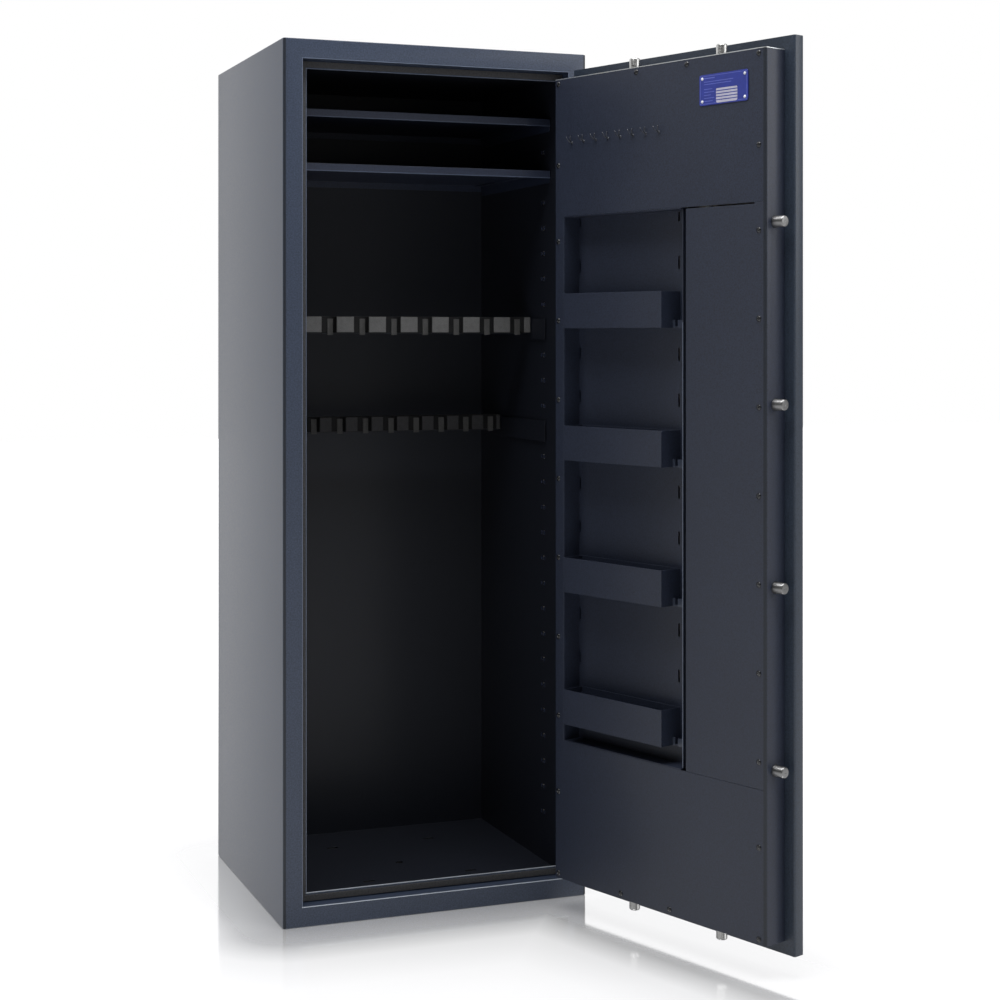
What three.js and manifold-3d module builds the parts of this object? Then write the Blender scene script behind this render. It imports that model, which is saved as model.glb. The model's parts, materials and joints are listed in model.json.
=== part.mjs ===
// Gun safe with its door standing open: a folded steel cabinet with shelves and barrel racks, and a
// thick door with a recess that holds four trays, and eight locking bolts on three sliding bars.
// Millimetres, +Z up. The front faces -Y and the origin is the middle of the cabinet's underside.
import * as THREE from "three";
import { mergeVertices } from "three/addons/utils/BufferGeometryUtils.js";
import Module from "manifold-3d";

const wasm = await Module();
wasm.setup();

// ---------------------------------------------------------------- driving dimensions

// Cabinet
const WIDTH = 560;
const DEPTH = 465;
const HEIGHT = 1500;
const SHELL = 3; // outer sheet
const FOLD = 5; // outside radius of the cabinet's upright corners
const LINER = 1.5; // inner sheet
const GAP = 0.3; // running or resting gap between neighbours
const FRONT = -DEPTH / 2;
const OPENING = { half: 246, low: 34, high: 1467 }; // door opening in the front frame
const REBATE = 25; // depth of the frame down to the stop lip
const LIP = { left: -232, low: 50, high: 1453 }; // free edges of the stop lip
const ROOM = { half: 245, back: 178, floor: 36, ceiling: 1464 }; // inside faces of the liner

// Slots for the rack and shelf hooks, in one column on each side wall
const WALL_SLOT = { y: -126, width: 10, height: 8, low: 126, pitch: 46.5, count: 28 };

// Shelves, from the top down: the height of the top face
const SHELF_TOPS = [1392, 1298];
const SHELF = { front: -158, sheet: 1.2, lip: 13, sideGap: 1.2, backGap: 2 };
const SHELF_RAIL = { sheet: 1.5, leg: 16, drop: 20, frontGap: 4, backGap: 6 };

// Barrel racks
const RACKS = [
  { name: "upper", front: -80, depth: 38, low: 1004, tall: 29, pitch: 60.75, pad: 33, armLow: 992 },
  { name: "lower", front: 65, depth: 35, low: 818, tall: 28, pitch: 51, pad: 24, armLow: 805 },
];
const RACK_CARRIER = { sheet: 1.5, armTall: 38, armFront: -140, outer: 242.5, back: 3 };
const RACK_SPINE = 18; // foam left behind the channels
const PAD_ROW = { start: 243, half: 239.5 }; // where the pads are counted from, and the foam's ends

// Door leaf. Its own axes are s, from the hinge edge towards the free edge, t, from the outer face
// inwards, and z.
const HINGE = { x: 262, y: FRONT - 11 };
const OPEN_DEG = 109.5; // how far the door stands open
const LEAF = { edge: 243.5, wide: 487, low: 37, high: 1464, thick: 22 };
const CASING = { left: 1.2, right: 467, low: 57.2, high: 1443.4, face: 67, sheet: 2, fold: 5 };
const RECESS = { left: 22, right: 292, low: 296.85, high: 1205, back: 31, sheet: 1.5 };
const COVER = { left: 303, right: 462, step: 444 };
const TRAY_FLOORS = [1011, 783.5, 556.5, 329];
const TRAY = { left: 31, right: 259, face: 77, tall: 60, sheet: 1.2 };
const RECESS_SLOT = { tall: 21, wide: 4, top: 1194.2, pitch: 75.5, count: 12, columns: [24, 254] };
const LABEL = { left: 333, right: 433, low: 1364, high: 1413 };

// Bolt work, drawn with the bolts thrown
const BOLT = { radius: 9, axis: 44.5, hole: 9.6, length: 77 };
const THROW = { side: 486.5, top: 1462.5, bottom: 37.5 }; // tips of the thrown bolts
const SIDE_BOLTS = [1174.5, 891.5, 608.5, 325.5];
const END_BOLTS = [169, 359];
const CAM = { s: 350, z: 750, radius: 24, pinCircle: 16, pin: 3, halfTurn: 30 };
const LEVEL_A = [33, 37]; // side bar and top bar
const LEVEL_B = [38, 42]; // bottom bar
const WEB = [33, 56]; // standing leg of each bar
const LOCK = { s: 357, z: 905 };
const SIDE_BAR = { web: [405, 409], foot: 398, low: 310, high: 1190 };
const SIDE_ARM = { under: 11.6, crown: 20, top: 30, prong: 6 }; // heights above the cam's axis
const TOP_BAR = { rail: 330.3, outer: 318, foot: 1366, web: [1381, 1385], bolts: [150, 380] };
const BOTTOM_BAR = { rail: 370, outer: 382, foot: 134, web: [115, 119], bolts: [150, 382] };
const MECHANISM_PLATE = { left: 300, right: 460, low: 300, high: 1200, t: [24, 26.5] };
const LOCK_CASE = { left: 336, right: 378, t: [27, 50], half: 47 };
const LOCK_BAY = { left: 339, t: [31.5, 44.5], half: 12.5 };
const LOCK_BOLT = { left: 341, right: 373, t: [32, 44], half: 12 };

// Hinges
const KNUCKLE = { radius: 10.5, bore: 5.3, pin: 5, tall: 50, strap: 95 };
const HINGE_HEIGHTS = [262, 1240];

// ---------------------------------------------------------------- solids

function solid(geometry) {
  const bare = geometry.clone();
  bare.deleteAttribute("normal");
  bare.deleteAttribute("uv");
  const merged = mergeVertices(bare, 1e-4);
  const corners = [];
  const index = merged.index.array;
  for (let i = 0; i < index.length; i += 3) {
    const [a, b, c] = [index[i], index[i + 1], index[i + 2]];
    if (a !== b && b !== c && c !== a) corners.push(a, b, c);
  }
  const vertProperties = new Float32Array(merged.attributes.position.array);
  const triVerts = new Uint32Array(corners);
  return new wasm.Manifold(new wasm.Mesh({ numProp: 3, vertProperties, triVerts }));
}

function geometryOf(body) {
  const mesh = body.getMesh();
  const geometry = new THREE.BufferGeometry();
  const positions = new Float32Array(mesh.vertProperties);
  geometry.setAttribute("position", new THREE.BufferAttribute(positions, 3));
  geometry.setIndex(new THREE.BufferAttribute(new Uint32Array(mesh.triVerts), 1));
  return geometry.toNonIndexed();
}

function box(x0, x1, y0, y1, z0, z1) {
  const geometry = new THREE.BoxGeometry(x1 - x0, y1 - y0, z1 - z0);
  geometry.translate((x0 + x1) / 2, (y0 + y1) / 2, (z0 + z1) / 2);
  return solid(geometry);
}

// A box in the door leaf's s, t and z
function leafBox(s0, s1, t0, t1, z0, z1) {
  return box(-s1, -s0, t0, t1, z0, z1);
}

// Corners are [x, y] or [x, y, radius]; a rounded corner becomes an arc
function outline(corners, steps = 4) {
  const points = [];
  corners.forEach(([x, y, radius = 0], i) => {
    const here = new THREE.Vector2(x, y);
    if (!radius) {
      points.push(here);
      return;
    }
    const before = corners[(i + corners.length - 1) % corners.length];
    const after = corners[(i + 1) % corners.length];
    const toBefore = new THREE.Vector2(before[0], before[1]).sub(here).normalize();
    const toAfter = new THREE.Vector2(after[0], after[1]).sub(here).normalize();
    const half = Math.acos(toBefore.dot(toAfter)) / 2;
    const inward = toBefore.clone().add(toAfter).normalize();
    const centre = here.clone().addScaledVector(inward, radius / Math.sin(half));
    const start = here.clone().addScaledVector(toBefore, radius / Math.tan(half)).sub(centre);
    const end = here.clone().addScaledVector(toAfter, radius / Math.tan(half)).sub(centre);
    const turn = Math.atan2(start.cross(end), start.dot(end));
    for (let k = 0; k <= steps; k += 1) {
      points.push(start.clone().rotateAround(new THREE.Vector2(), (turn * k) / steps).add(centre));
    }
  });
  return points;
}

// An outline in X and Y, raised from z0 to z1
function prism(points, z0, z1) {
  const options = { depth: z1 - z0, bevelEnabled: false };
  const geometry = new THREE.ExtrudeGeometry(new THREE.Shape(points), options);
  geometry.translate(0, 0, z0);
  return solid(geometry);
}

// An outline in the leaf's s and z, thickened from t0 to t1
function leafPlate(points, t0, t1) {
  const flat = points.map((p) => new THREE.Vector2(-p.x, p.y));
  const options = { depth: t1 - t0, bevelEnabled: false };
  const geometry = new THREE.ExtrudeGeometry(new THREE.Shape(flat), options);
  geometry.rotateX(Math.PI / 2);
  geometry.translate(0, t1, 0);
  return solid(geometry);
}

// A turned piece: profile points are [radius, distance along direction from start]
function turned(profile, start, direction, segments) {
  const points = profile.map(([r, along]) => new THREE.Vector2(r, along));
  const geometry = new THREE.LatheGeometry(points, segments);
  const up = new THREE.Vector3(0, 1, 0);
  geometry.applyQuaternion(new THREE.Quaternion().setFromUnitVectors(up, direction));
  geometry.translate(start.x, start.y, start.z);
  return solid(geometry);
}

function rod(radius, length, start, direction, segments = 20) {
  return turned([[0, 0], [radius, 0], [radius, length], [0, length]], start, direction, segments);
}

const ALONG = {
  y: new THREE.Vector3(0, 1, 0),
  z: new THREE.Vector3(0, 0, 1),
  free: new THREE.Vector3(-1, 0, 0), // towards the door's free edge, inside the leaf group
  down: new THREE.Vector3(0, 0, -1),
};

const at = (x, y, z) => new THREE.Vector3(x, y, z);
const leafAt = (s, t, z) => new THREE.Vector3(-s, t, z);

// ---------------------------------------------------------------- scene and materials

const paint = (color) => ({ color, roughness: 0.55, metalness: 0.3 });
const FINISH = {
  paint: paint(0x3a4254),
  liner: paint(0x1d222c),
  inside: paint(0x343943),
  board: { color: 0xb8b2a4, roughness: 0.95, metalness: 0 },
  seal: { color: 0x17181a, roughness: 0.9, metalness: 0 },
  foam: { color: 0x55575b, roughness: 0.9, metalness: 0 },
  steel: { color: 0xb9bcc0, roughness: 0.25, metalness: 1 },
  zinc: { color: 0x8f9296, roughness: 0.45, metalness: 0.9 },
  brass: { color: 0xb08d4a, roughness: 0.4, metalness: 1 },
  label: { color: 0x1f3fa8, roughness: 0.35, metalness: 0.2 },
};

const safe = new THREE.Group();
const leaf = new THREE.Group();
const swing = new THREE.Group();
swing.position.set(HINGE.x, HINGE.y, 0);
swing.rotation.z = THREE.MathUtils.degToRad(OPEN_DEG);
leaf.position.set(LEAF.edge - HINGE.x, FRONT - HINGE.y, 0);
swing.add(leaf);
safe.add(swing);

function place(group, name, body, finish) {
  const mesh = new THREE.Mesh(geometryOf(body), new THREE.MeshStandardMaterial(FINISH[finish]));
  mesh.geometry.computeVertexNormals();
  mesh.name = name;
  group.add(mesh);
}

// ---------------------------------------------------------------- cabinet

const INNER_SHELL = {
  half: WIDTH / 2 - SHELL,
  back: DEPTH / 2 - SHELL,
  low: SHELL,
  high: HEIGHT - SHELL,
};
const LIP_FACE = FRONT + REBATE;
const LIP_BACK = LIP_FACE + SHELL;
const LINER_OUT = {
  half: ROOM.half + LINER,
  back: ROOM.back + LINER,
  low: ROOM.floor - LINER,
  high: ROOM.ceiling + LINER,
};
const ROOM_FRONT = LIP_BACK + GAP;

// Anchor slots and the anchor hole in the floor: [x, y]
const FLOOR_SLOTS = [[-96, -138], [96, -138], [-96, 80], [96, 80]];
const FLOOR_SLOT = { long: 21, wide: 9 };
const ANCHOR = { x: -8, y: -48, radius: 7 };

function floorCuts(z0, z1) {
  let cuts = rod(ANCHOR.radius, z1 - z0, at(ANCHOR.x, ANCHOR.y, z0), ALONG.z, 16);
  for (const [x, y] of FLOOR_SLOTS) {
    const [dx, dy] = [FLOOR_SLOT.long / 2, FLOOR_SLOT.wide / 2];
    cuts = cuts.add(box(x - dx, x + dx, y - dy, y + dy, z0, z1));
  }
  return cuts;
}

// Folded shell: five walls, the front frame, the return into the rebate and the stop lip, which runs
// along the free side, the top and the bottom
function outerShell() {
  const [w, d] = [WIDTH / 2, DEPTH / 2];
  const plan = outline([[-w, -d, FOLD], [w, -d, FOLD], [w, d, FOLD], [-w, d, FOLD]]);
  const inner = INNER_SHELL;
  const o = OPENING;
  const hollow = box(-inner.half, inner.half, FRONT + SHELL, inner.back, inner.low, inner.high);
  const doorway = box(-o.half, o.half, FRONT - 1, FRONT + SHELL + 1, o.low, o.high);
  const low = o.low - SHELL;
  const high = o.high + SHELL;
  const returns = box(-o.half - SHELL, o.half + SHELL, FRONT, LIP_BACK, low, high)
    .subtract(box(-o.half, o.half, FRONT - 1, LIP_FACE, o.low, o.high))
    .subtract(box(LIP.left, o.half, LIP_FACE - 1, LIP_BACK + 1, LIP.low, LIP.high));
  return prism(plan, 0, HEIGHT)
    .subtract(hollow)
    .subtract(doorway)
    .add(returns)
    .subtract(rod(ANCHOR.radius, 2 * SHELL, at(ANCHOR.x, ANCHOR.y, -SHELL / 2), ALONG.z, 16));
}

function innerLiner() {
  const out = LINER_OUT;
  let liner = box(-out.half, out.half, ROOM_FRONT, out.back, out.low, out.high)
    .subtract(box(-ROOM.half, ROOM.half, ROOM_FRONT - 1, ROOM.back, ROOM.floor, ROOM.ceiling))
    .subtract(floorCuts(out.low - 1, ROOM.floor + 1));
  const reach = out.half + 1;
  for (let k = 0; k < WALL_SLOT.count; k += 1) {
    const z = WALL_SLOT.low + k * WALL_SLOT.pitch;
    const [dy, dz] = [WALL_SLOT.width / 2, WALL_SLOT.height / 2];
    liner = liner.subtract(
      box(-reach, reach, WALL_SLOT.y - dy, WALL_SLOT.y + dy, z - dz, z + dz),
    );
  }
  return liner;
}

// Fire boards between shell and liner. The side boards have a groove behind the slots.
function insulationBoards() {
  const [edge, inner, out] = [0.5, INNER_SHELL, LINER_OUT];
  const [low, high, back] = [inner.low + GAP, inner.high - GAP, inner.back - GAP];
  const groove = { deep: 12, half: WALL_SLOT.width / 2 + 2, spare: 20 };
  for (const [name, sign] of [["insulation_left", -1], ["insulation_right", 1]]) {
    const [a, b] = [sign * (out.half + edge), sign * (inner.half - GAP)];
    const cut = a + sign * groove.deep;
    const board = box(Math.min(a, b), Math.max(a, b), ROOM_FRONT, back, low, high);
    const channel = box(
      Math.min(a - sign, cut),
      Math.max(a - sign, cut),
      WALL_SLOT.y - groove.half,
      WALL_SLOT.y + groove.half,
      WALL_SLOT.low - groove.spare,
      WALL_SLOT.low + WALL_SLOT.count * WALL_SLOT.pitch,
    );
    place(safe, name, board.subtract(channel), "board");
  }
  const half = out.half;
  const rear = out.back + edge;
  place(safe, "insulation_back", box(-half, half, rear, back, low, high), "board");
  const top = box(-half, half, ROOM_FRONT, rear - GAP, out.high + edge, high);
  place(safe, "insulation_top", top, "board");
  const bottom = box(-half, half, ROOM_FRONT, rear - GAP, low, out.low - GAP);
  place(safe, "insulation_bottom", bottom.subtract(floorCuts(low - 1, out.low + 1)), "board");
}

// Fire and draught seal on the front of the stop lip: the free side, the top and the bottom
function doorSeal() {
  const inset = 2;
  const [thick, wide] = [2, 10];
  const y1 = LIP_FACE - GAP;
  const o = OPENING;
  const [left, right] = [-o.half + inset, o.half - inset];
  const [low, high] = [o.low + inset, o.high - inset];
  return box(left, right, y1 - thick, y1, low, high).subtract(
    box(left + wide, right + 1, y1 - thick - 1, y1 + 1, low + wide, high - wide),
  );
}

function shelf(top) {
  const [half, back] = [ROOM.half - SHELF.sideGap, ROOM.back - SHELF.backGap];
  const under = top - SHELF.sheet;
  return box(-half, half, SHELF.front, back, top - SHELF.lip, top).subtract(
    box(
      -half - 1,
      half + 1,
      SHELF.front + SHELF.sheet,
      back - SHELF.sheet,
      top - SHELF.lip - 1,
      under,
    ),
  );
}

// Angle under each end of a shelf: one leg on the wall, one under the shelf
function shelfRail(top, sign) {
  const { sheet, leg, drop, frontGap, backGap } = SHELF_RAIL;
  const high = top - SHELF.sheet - GAP;
  const wall = ROOM.half - GAP;
  const [y0, y1] = [SHELF.front + frontGap, ROOM.back - backGap];
  const span = (a, b) => [Math.min(sign * a, sign * b), Math.max(sign * a, sign * b)];
  const upright = box(...span(wall - sheet, wall), y0, y1, high - drop, high);
  const flat = box(...span(wall - leg, wall), y0, y1, high - sheet, high);
  return upright.add(flat);
}

// Steel carrier of a rack: a ledge behind the channels that the foam stands on, a back flange, and two
// arms along the side walls
function rackCarrier(rack) {
  const { sheet, armTall, armFront } = RACK_CARRIER;
  const [half, back] = [RACK_CARRIER.outer, rack.front + rack.depth + RACK_CARRIER.back];
  const under = rack.low - GAP;
  const behind = rack.front + rack.depth - RACK_SPINE + 1;
  const plate = box(-half, half, behind, back, under - sheet, under);
  const flange = box(-half, half, back - sheet, back, under - sheet, rack.low + rack.tall - 4);
  let carrier = plate.add(flange);
  const [low, high] = [rack.armLow, rack.armLow + armTall];
  for (const [x0, x1] of [[-half, -half + sheet], [half - sheet, half]]) {
    carrier = carrier.add(box(x0, x1, armFront, back, low, high));
  }
  return carrier;
}

// Foam of a rack: blunt pads with a square channel between each two for a barrel. The pads are
// counted from the right-hand wall, where half a pad ends the row.
function rackFoam(rack) {
  const [right, left] = [PAD_ROW.half, -PAD_ROW.half];
  const [front, back] = [rack.front, rack.front + rack.depth];
  const channel = rack.pitch - rack.pad;
  const corner = 3;
  const floor = back - RACK_SPINE;
  const corners = [[right, back], [right, front, corner]];
  for (let centre = PAD_ROW.start - rack.pitch / 2; centre > left; centre -= rack.pitch) {
    const [a, b] = [centre + channel / 2, centre - channel / 2];
    corners.push([a, front, corner], [a, floor]);
    if (b < left + 2 * corner) {
      corners.push([left, floor]);
      break;
    }
    corners.push([b, floor], [b, front, corner]);
  }
  const last = corners[corners.length - 1];
  if (last[1] === front) corners.push([left, front, corner]);
  corners.push([left, back]);
  return prism(outline(corners, 3), rack.low, rack.low + rack.tall);
}

// ---------------------------------------------------------------- door

function keyhole(t0, t1) {
  const [wide, tall] = [3, 11];
  return leafBox(LOCK.s - wide, LOCK.s + wide, t0, t1, LOCK.z - tall, LOCK.z + tall).add(
    rod(4.5, t1 - t0, leafAt(LOCK.s, t0, LOCK.z + 4), ALONG.y, 16),
  );
}

const spindleHole = (t0, t1) => rod(7, t1 - t0, leafAt(CAM.s, t0, CAM.z), ALONG.y, 20);

// Front pan: a 4 mm skin with folded returns and a flange that closes the back edge all round
const PAN = { skin: 4, fold: 3, flange: 30 };

function doorPlate() {
  const { skin, fold, flange } = PAN;
  const [wide, thick] = [LEAF.wide, LEAF.thick];
  const plan = outline([[0, 0, 4], [-wide, 0, 4], [-wide, thick, 3], [0, thick, 3]]);
  return prism(plan, LEAF.low, LEAF.high)
    .subtract(
      leafBox(fold, wide - fold, skin, thick - fold, LEAF.low + fold, LEAF.high - fold),
    )
    .subtract(
      leafBox(
        flange,
        wide - flange,
        thick / 2,
        thick + 1,
        LEAF.low + flange,
        LEAF.high - flange,
      ),
    )
    .subtract(spindleHole(-1, thick))
    .subtract(keyhole(-1, thick));
}

function doorInfill() {
  const [skin, fold] = [PAN.skin + GAP, PAN.fold + GAP];
  return leafBox(fold, LEAF.wide - fold, skin, LEAF.thick - fold, LEAF.low + fold, LEAF.high - fold)
    .subtract(spindleHole(0, LEAF.thick))
    .subtract(keyhole(0, LEAF.thick));
}

// Casing behind the pan: folded sheet with a window for the recess and the side cover, and a hole
// for each bolt
function doorCasing() {
  const c = CASING;
  const t0 = LEAF.thick + GAP;
  const bend = [[-c.left, t0], [-c.right, t0], [-c.right, c.face, c.fold], [-c.left, c.face, 1.5]];
  const [left, right, face] = [c.left + c.sheet, c.right - c.sheet, c.face - c.sheet];
  const inside = [[-left, t0 - 1], [-right, t0 - 1], [-right, face, c.fold - c.sheet], [-left, face]];
  let casing = prism(outline(bend), c.low, c.high)
    .subtract(prism(outline(inside), c.low + c.sheet, c.high - c.sheet))
    .subtract(
      leafBox(RECESS.left, COVER.right + 0.35, c.face - 4, c.face + 1, RECESS.low, RECESS.high),
    );
  const depth = 3 * c.sheet;
  for (const z of SIDE_BOLTS) {
    const start = leafAt(c.right - 2 * c.sheet, BOLT.axis, z);
    casing = casing.subtract(rod(BOLT.hole, depth, start, ALONG.free));
  }
  for (const s of END_BOLTS) {
    const top = leafAt(s, BOLT.axis, c.high - 2 * c.sheet);
    const bottom = leafAt(s, BOLT.axis, c.low + 2 * c.sheet);
    casing = casing.subtract(rod(BOLT.hole, depth, top, ALONG.z));
    casing = casing.subtract(rod(BOLT.hole, depth, bottom, ALONG.down));
  }
  return casing;
}

// Flush cover over the bolt work, with a step in its top edge
function sideCover() {
  const [low, high] = [RECESS.low + 0.35, RECESS.high - 0.35];
  const seam = RECESS.high - 2.6;
  const corners = [
    [COVER.left, low],
    [COVER.right, low],
    [COVER.right, high],
    [COVER.step, high],
    [COVER.step, seam],
    [COVER.left, seam],
  ];
  return leafPlate(outline(corners), CASING.face - 1.5, CASING.face);
}

// Pan of the recess, with two columns of slots in its back for the trays
function recessPan() {
  const [r, sheet, lip] = [RECESS, RECESS.sheet, 6];
  const [left, right] = [r.left + GAP, r.right];
  const [low, high] = [r.low + GAP, r.high - GAP];
  const [back, front] = [r.back - sheet, CASING.face - GAP];
  let pan = leafBox(left, right, back, front, low, high)
    .subtract(
      leafBox(left + sheet, right - sheet, r.back, front + 1, low + sheet, high - sheet),
    )
    .subtract(
      leafBox(
        right - 2 * sheet,
        right + 1,
        CASING.face - lip,
        front + 1,
        low + sheet,
        high - sheet,
      ),
    );
  for (const column of RECESS_SLOT.columns) {
    for (let k = 0; k < RECESS_SLOT.count; k += 1) {
      const z = RECESS_SLOT.top - k * RECESS_SLOT.pitch;
      const half = Math.min(RECESS_SLOT.tall / 2, high - 2 * sheet - z);
      pan = pan.subtract(
        leafBox(column, column + RECESS_SLOT.wide, back - 1, r.back + 1, z - half, z + half),
      );
    }
  }
  return pan;
}

// Tray with a notched strap that reaches to the far wall of the recess
function tray(floor) {
  const t = TRAY;
  const [back, high] = [RECESS.back + GAP, floor + t.tall];
  const strap = { end: 289, tall: 13, t0: 47, t1: 49.5, notch: [264, 270], web: 2.5 };
  return leafBox(t.left, t.right, back, t.face, floor, high)
    .subtract(
      leafBox(
        t.left + t.sheet,
        t.right - t.sheet,
        back + t.sheet,
        t.face - t.sheet,
        floor + t.sheet,
        high + 1,
      ),
    )
    .add(leafBox(t.right - t.sheet, strap.end, strap.t0, strap.t1, floor, floor + strap.tall))
    .subtract(
      leafBox(
        ...strap.notch,
        strap.t0 - 1,
        strap.t1 + 1,
        floor + strap.web,
        floor + strap.tall + 1,
      ),
    );
}

function labelPlate() {
  const { left, right, low, high } = LABEL;
  const corners = [[left, low, 4], [right, low, 4], [right, high, 4], [left, high, 4]];
  return leafPlate(outline(corners), CASING.face + GAP, CASING.face + 1.5);
}

// ---------------------------------------------------------------- hinges

function knuckle(centre, z0) {
  const start = at(centre.x, centre.y, z0);
  return rod(KNUCKLE.radius, KNUCKLE.tall, start, ALONG.z, 28);
}

function knuckleBore(centre, z0) {
  const start = at(centre.x, centre.y, z0 - 1);
  return rod(KNUCKLE.bore, KNUCKLE.tall + 2, start, ALONG.z, 24);
}

// Knuckle with a foot that stands on the cabinet's front frame
function lowerKnuckle(middle) {
  const z0 = middle - KNUCKLE.tall - 2;
  const foot = box(HINGE.x - 8, HINGE.x + 12, HINGE.y, FRONT - GAP, z0, z0 + KNUCKLE.tall);
  return knuckle(HINGE, z0).add(foot).subtract(knuckleBore(HINGE, z0));
}

// Knuckle with a strap along the door's outer face, in the leaf's own place
function upperKnuckle(middle) {
  const centre = { x: HINGE.x - LEAF.edge, y: HINGE.y - FRONT };
  const z0 = middle + 2;
  const [inset, thick] = [3, 6];
  const [low, high] = [z0 + inset, z0 + KNUCKLE.tall - inset];
  const strap = outline([
    [-centre.x, low],
    [KNUCKLE.strap, low, 10],
    [KNUCKLE.strap, high, 10],
    [-centre.x, high],
  ]);
  return knuckle(centre, z0)
    .add(leafPlate(strap, -GAP - thick, -GAP))
    .subtract(knuckleBore(centre, z0));
}

function thrustWasher(middle) {
  const [inner, outer, half] = [KNUCKLE.bore, KNUCKLE.radius - 0.5, 1.4];
  const ring = [[inner, -half], [outer, -half], [outer, half], [inner, half], [inner, -half]];
  return turned(ring, at(HINGE.x, HINGE.y, middle), ALONG.z, 28);
}

function hingePin(middle) {
  const low = -KNUCKLE.tall - 3;
  const cap = KNUCKLE.tall + 2 + GAP;
  const head = KNUCKLE.radius - 1;
  const profile = [
    [0, low],
    [KNUCKLE.pin - 1, low],
    [KNUCKLE.pin, low + 1],
    [KNUCKLE.pin, cap],
    [head, cap],
    [head, cap + 2],
    [head - 3, cap + 4.5],
    [0, cap + 5.5],
  ];
  return turned(profile, at(HINGE.x, HINGE.y, middle), ALONG.z, 24);
}

// ---------------------------------------------------------------- bolt work

// The point on the cam's pin circle, at an angle from the s axis
function camPin(degrees) {
  const angle = THREE.MathUtils.degToRad(degrees);
  const reach = CAM.pinCircle;
  return { s: CAM.s + reach * Math.cos(angle), z: CAM.z + reach * Math.sin(angle) };
}

const PINS = {
  side: camPin(90 - CAM.halfTurn),
  top: camPin(180 - CAM.halfTurn),
  bottom: camPin(-CAM.halfTurn),
};
const FORK = { gap: CAM.pin + 0.7, prong: 5 };

// Disc on the spindle with three pins: turning it draws all three bars in
function camDisc() {
  const [back, face] = [28, 31];
  let disc = rod(CAM.radius, face - back, leafAt(CAM.s, back, CAM.z), ALONG.y, 28);
  for (const [pin, end] of [
    [PINS.side, LEVEL_A[1] + 0.4],
    [PINS.top, LEVEL_A[1] + 0.4],
    [PINS.bottom, LEVEL_B[1] + 0.4],
  ]) {
    disc = disc.add(rod(CAM.pin, end - face + 1, leafAt(pin.s, face - 1, pin.z), ALONG.y, 16));
  }
  return disc.subtract(squareBar(4.3, back - 1, face + 1));
}

function squareBar(half, t0, t1) {
  return leafBox(CAM.s - half, CAM.s + half, t0, t1, CAM.z - half, CAM.z + half);
}

// Angle bar that carries the four side bolts; its arm ends in a fork over the cam's side pin
function sideBar() {
  const { web, foot, low, high } = SIDE_BAR;
  const [under, top, crown] = [SIDE_ARM.under, SIDE_ARM.top, SIDE_ARM.crown].map((z) => CAM.z + z);
  const [left, right] = [PINS.side.s - FORK.gap, PINS.side.s + FORK.gap];
  const arm = outline([
    [left - SIDE_ARM.prong, under],
    [left, under],
    [left, crown],
    [right, crown],
    [right, under],
    [foot + 1, under],
    [foot + 1, top],
    [left - SIDE_ARM.prong, top],
  ]);
  return leafBox(foot, web[1], ...LEVEL_A, low, high)
    .add(leafBox(...web, ...WEB, low, high))
    .add(leafPlate(arm, ...LEVEL_A));
}

// Bar for the two bolts at one end of the door. The rod from it ends in a fork over its cam pin:
// rail is the edge of the rod that faces the pin, and sign points from the cam towards the bar.
function endBar({ pin, rail, outer, level, foot, web, bolts }) {
  const tip = rail > pin.s ? pin.s - 3.5 : pin.s + 3.5;
  const sign = Math.sign(web[0] - CAM.z);
  const [near, far] = [pin.z - sign * FORK.gap, pin.z + sign * FORK.gap];
  const [nearEnd, farEnd] = [near - sign * FORK.prong, far + sign * FORK.prong];
  const rodOutline = outline([
    [outer, nearEnd],
    [tip, nearEnd],
    [tip, near],
    [rail, near],
    [rail, far],
    [tip, far],
    [tip, farEnd],
    [rail, farEnd],
    [rail, foot],
    [outer, foot],
  ]);
  const [low, high] = [Math.min(...web), Math.max(...web)];
  const footEnd = foot - sign;
  return leafPlate(rodOutline, ...level)
    .add(leafBox(bolts[0], bolts[1], ...WEB, low, high))
    .add(
      leafBox(
        bolts[0],
        bolts[1],
        ...level,
        Math.min(footEnd, low),
        Math.max(footEnd, high),
      ),
    );
}

const topBar = () => endBar({ ...TOP_BAR, pin: PINS.top, level: LEVEL_A });
const bottomBar = () => endBar({ ...BOTTOM_BAR, pin: PINS.bottom, level: LEVEL_B });

// Round bolt from its bar to its chamfered tip
function bolt(tip, direction, length) {
  const [r, chamfer] = [BOLT.radius, 1.5];
  const start = tip.clone().addScaledVector(direction, -length);
  const profile = [[0, 0], [r, 0], [r, length - chamfer], [r - chamfer, length], [0, length]];
  return turned(profile, start, direction, 24);
}

// Plate that the lock and the bolt work are mounted on
function mechanismPlate() {
  const { left, right, low, high, t: [t0, t1] } = MECHANISM_PLATE;
  return leafBox(left, right, t0, t1, low, high)
    .subtract(spindleHole(t0 - 1, t1 + 1))
    .subtract(keyhole(t0 - 1, t1 + 1));
}

function lockCase() {
  const [c, bay] = [LOCK_CASE, LOCK_BAY];
  return leafBox(c.left, c.right, ...c.t, LOCK.z - c.half, LOCK.z + c.half)
    .subtract(leafBox(bay.left, c.right + 1, ...bay.t, LOCK.z - bay.half, LOCK.z + bay.half))
    .subtract(keyhole(c.t[0] - 1, bay.t[0] + 1));
}

function lockBolt() {
  const { left, right, t, half } = LOCK_BOLT;
  return leafBox(left, right, ...t, LOCK.z - half, LOCK.z + half);
}

// ---------------------------------------------------------------- outside of the door

const HUB_BACK = -8.5;

function handleRose() {
  const profile = [[7, 0], [28, 0], [28, 4], [24, 7.7], [7, 7.7], [7, 0]];
  return turned(profile, leafAt(CAM.s, -GAP, CAM.z), at(0, -1, 0), 32);
}

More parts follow.
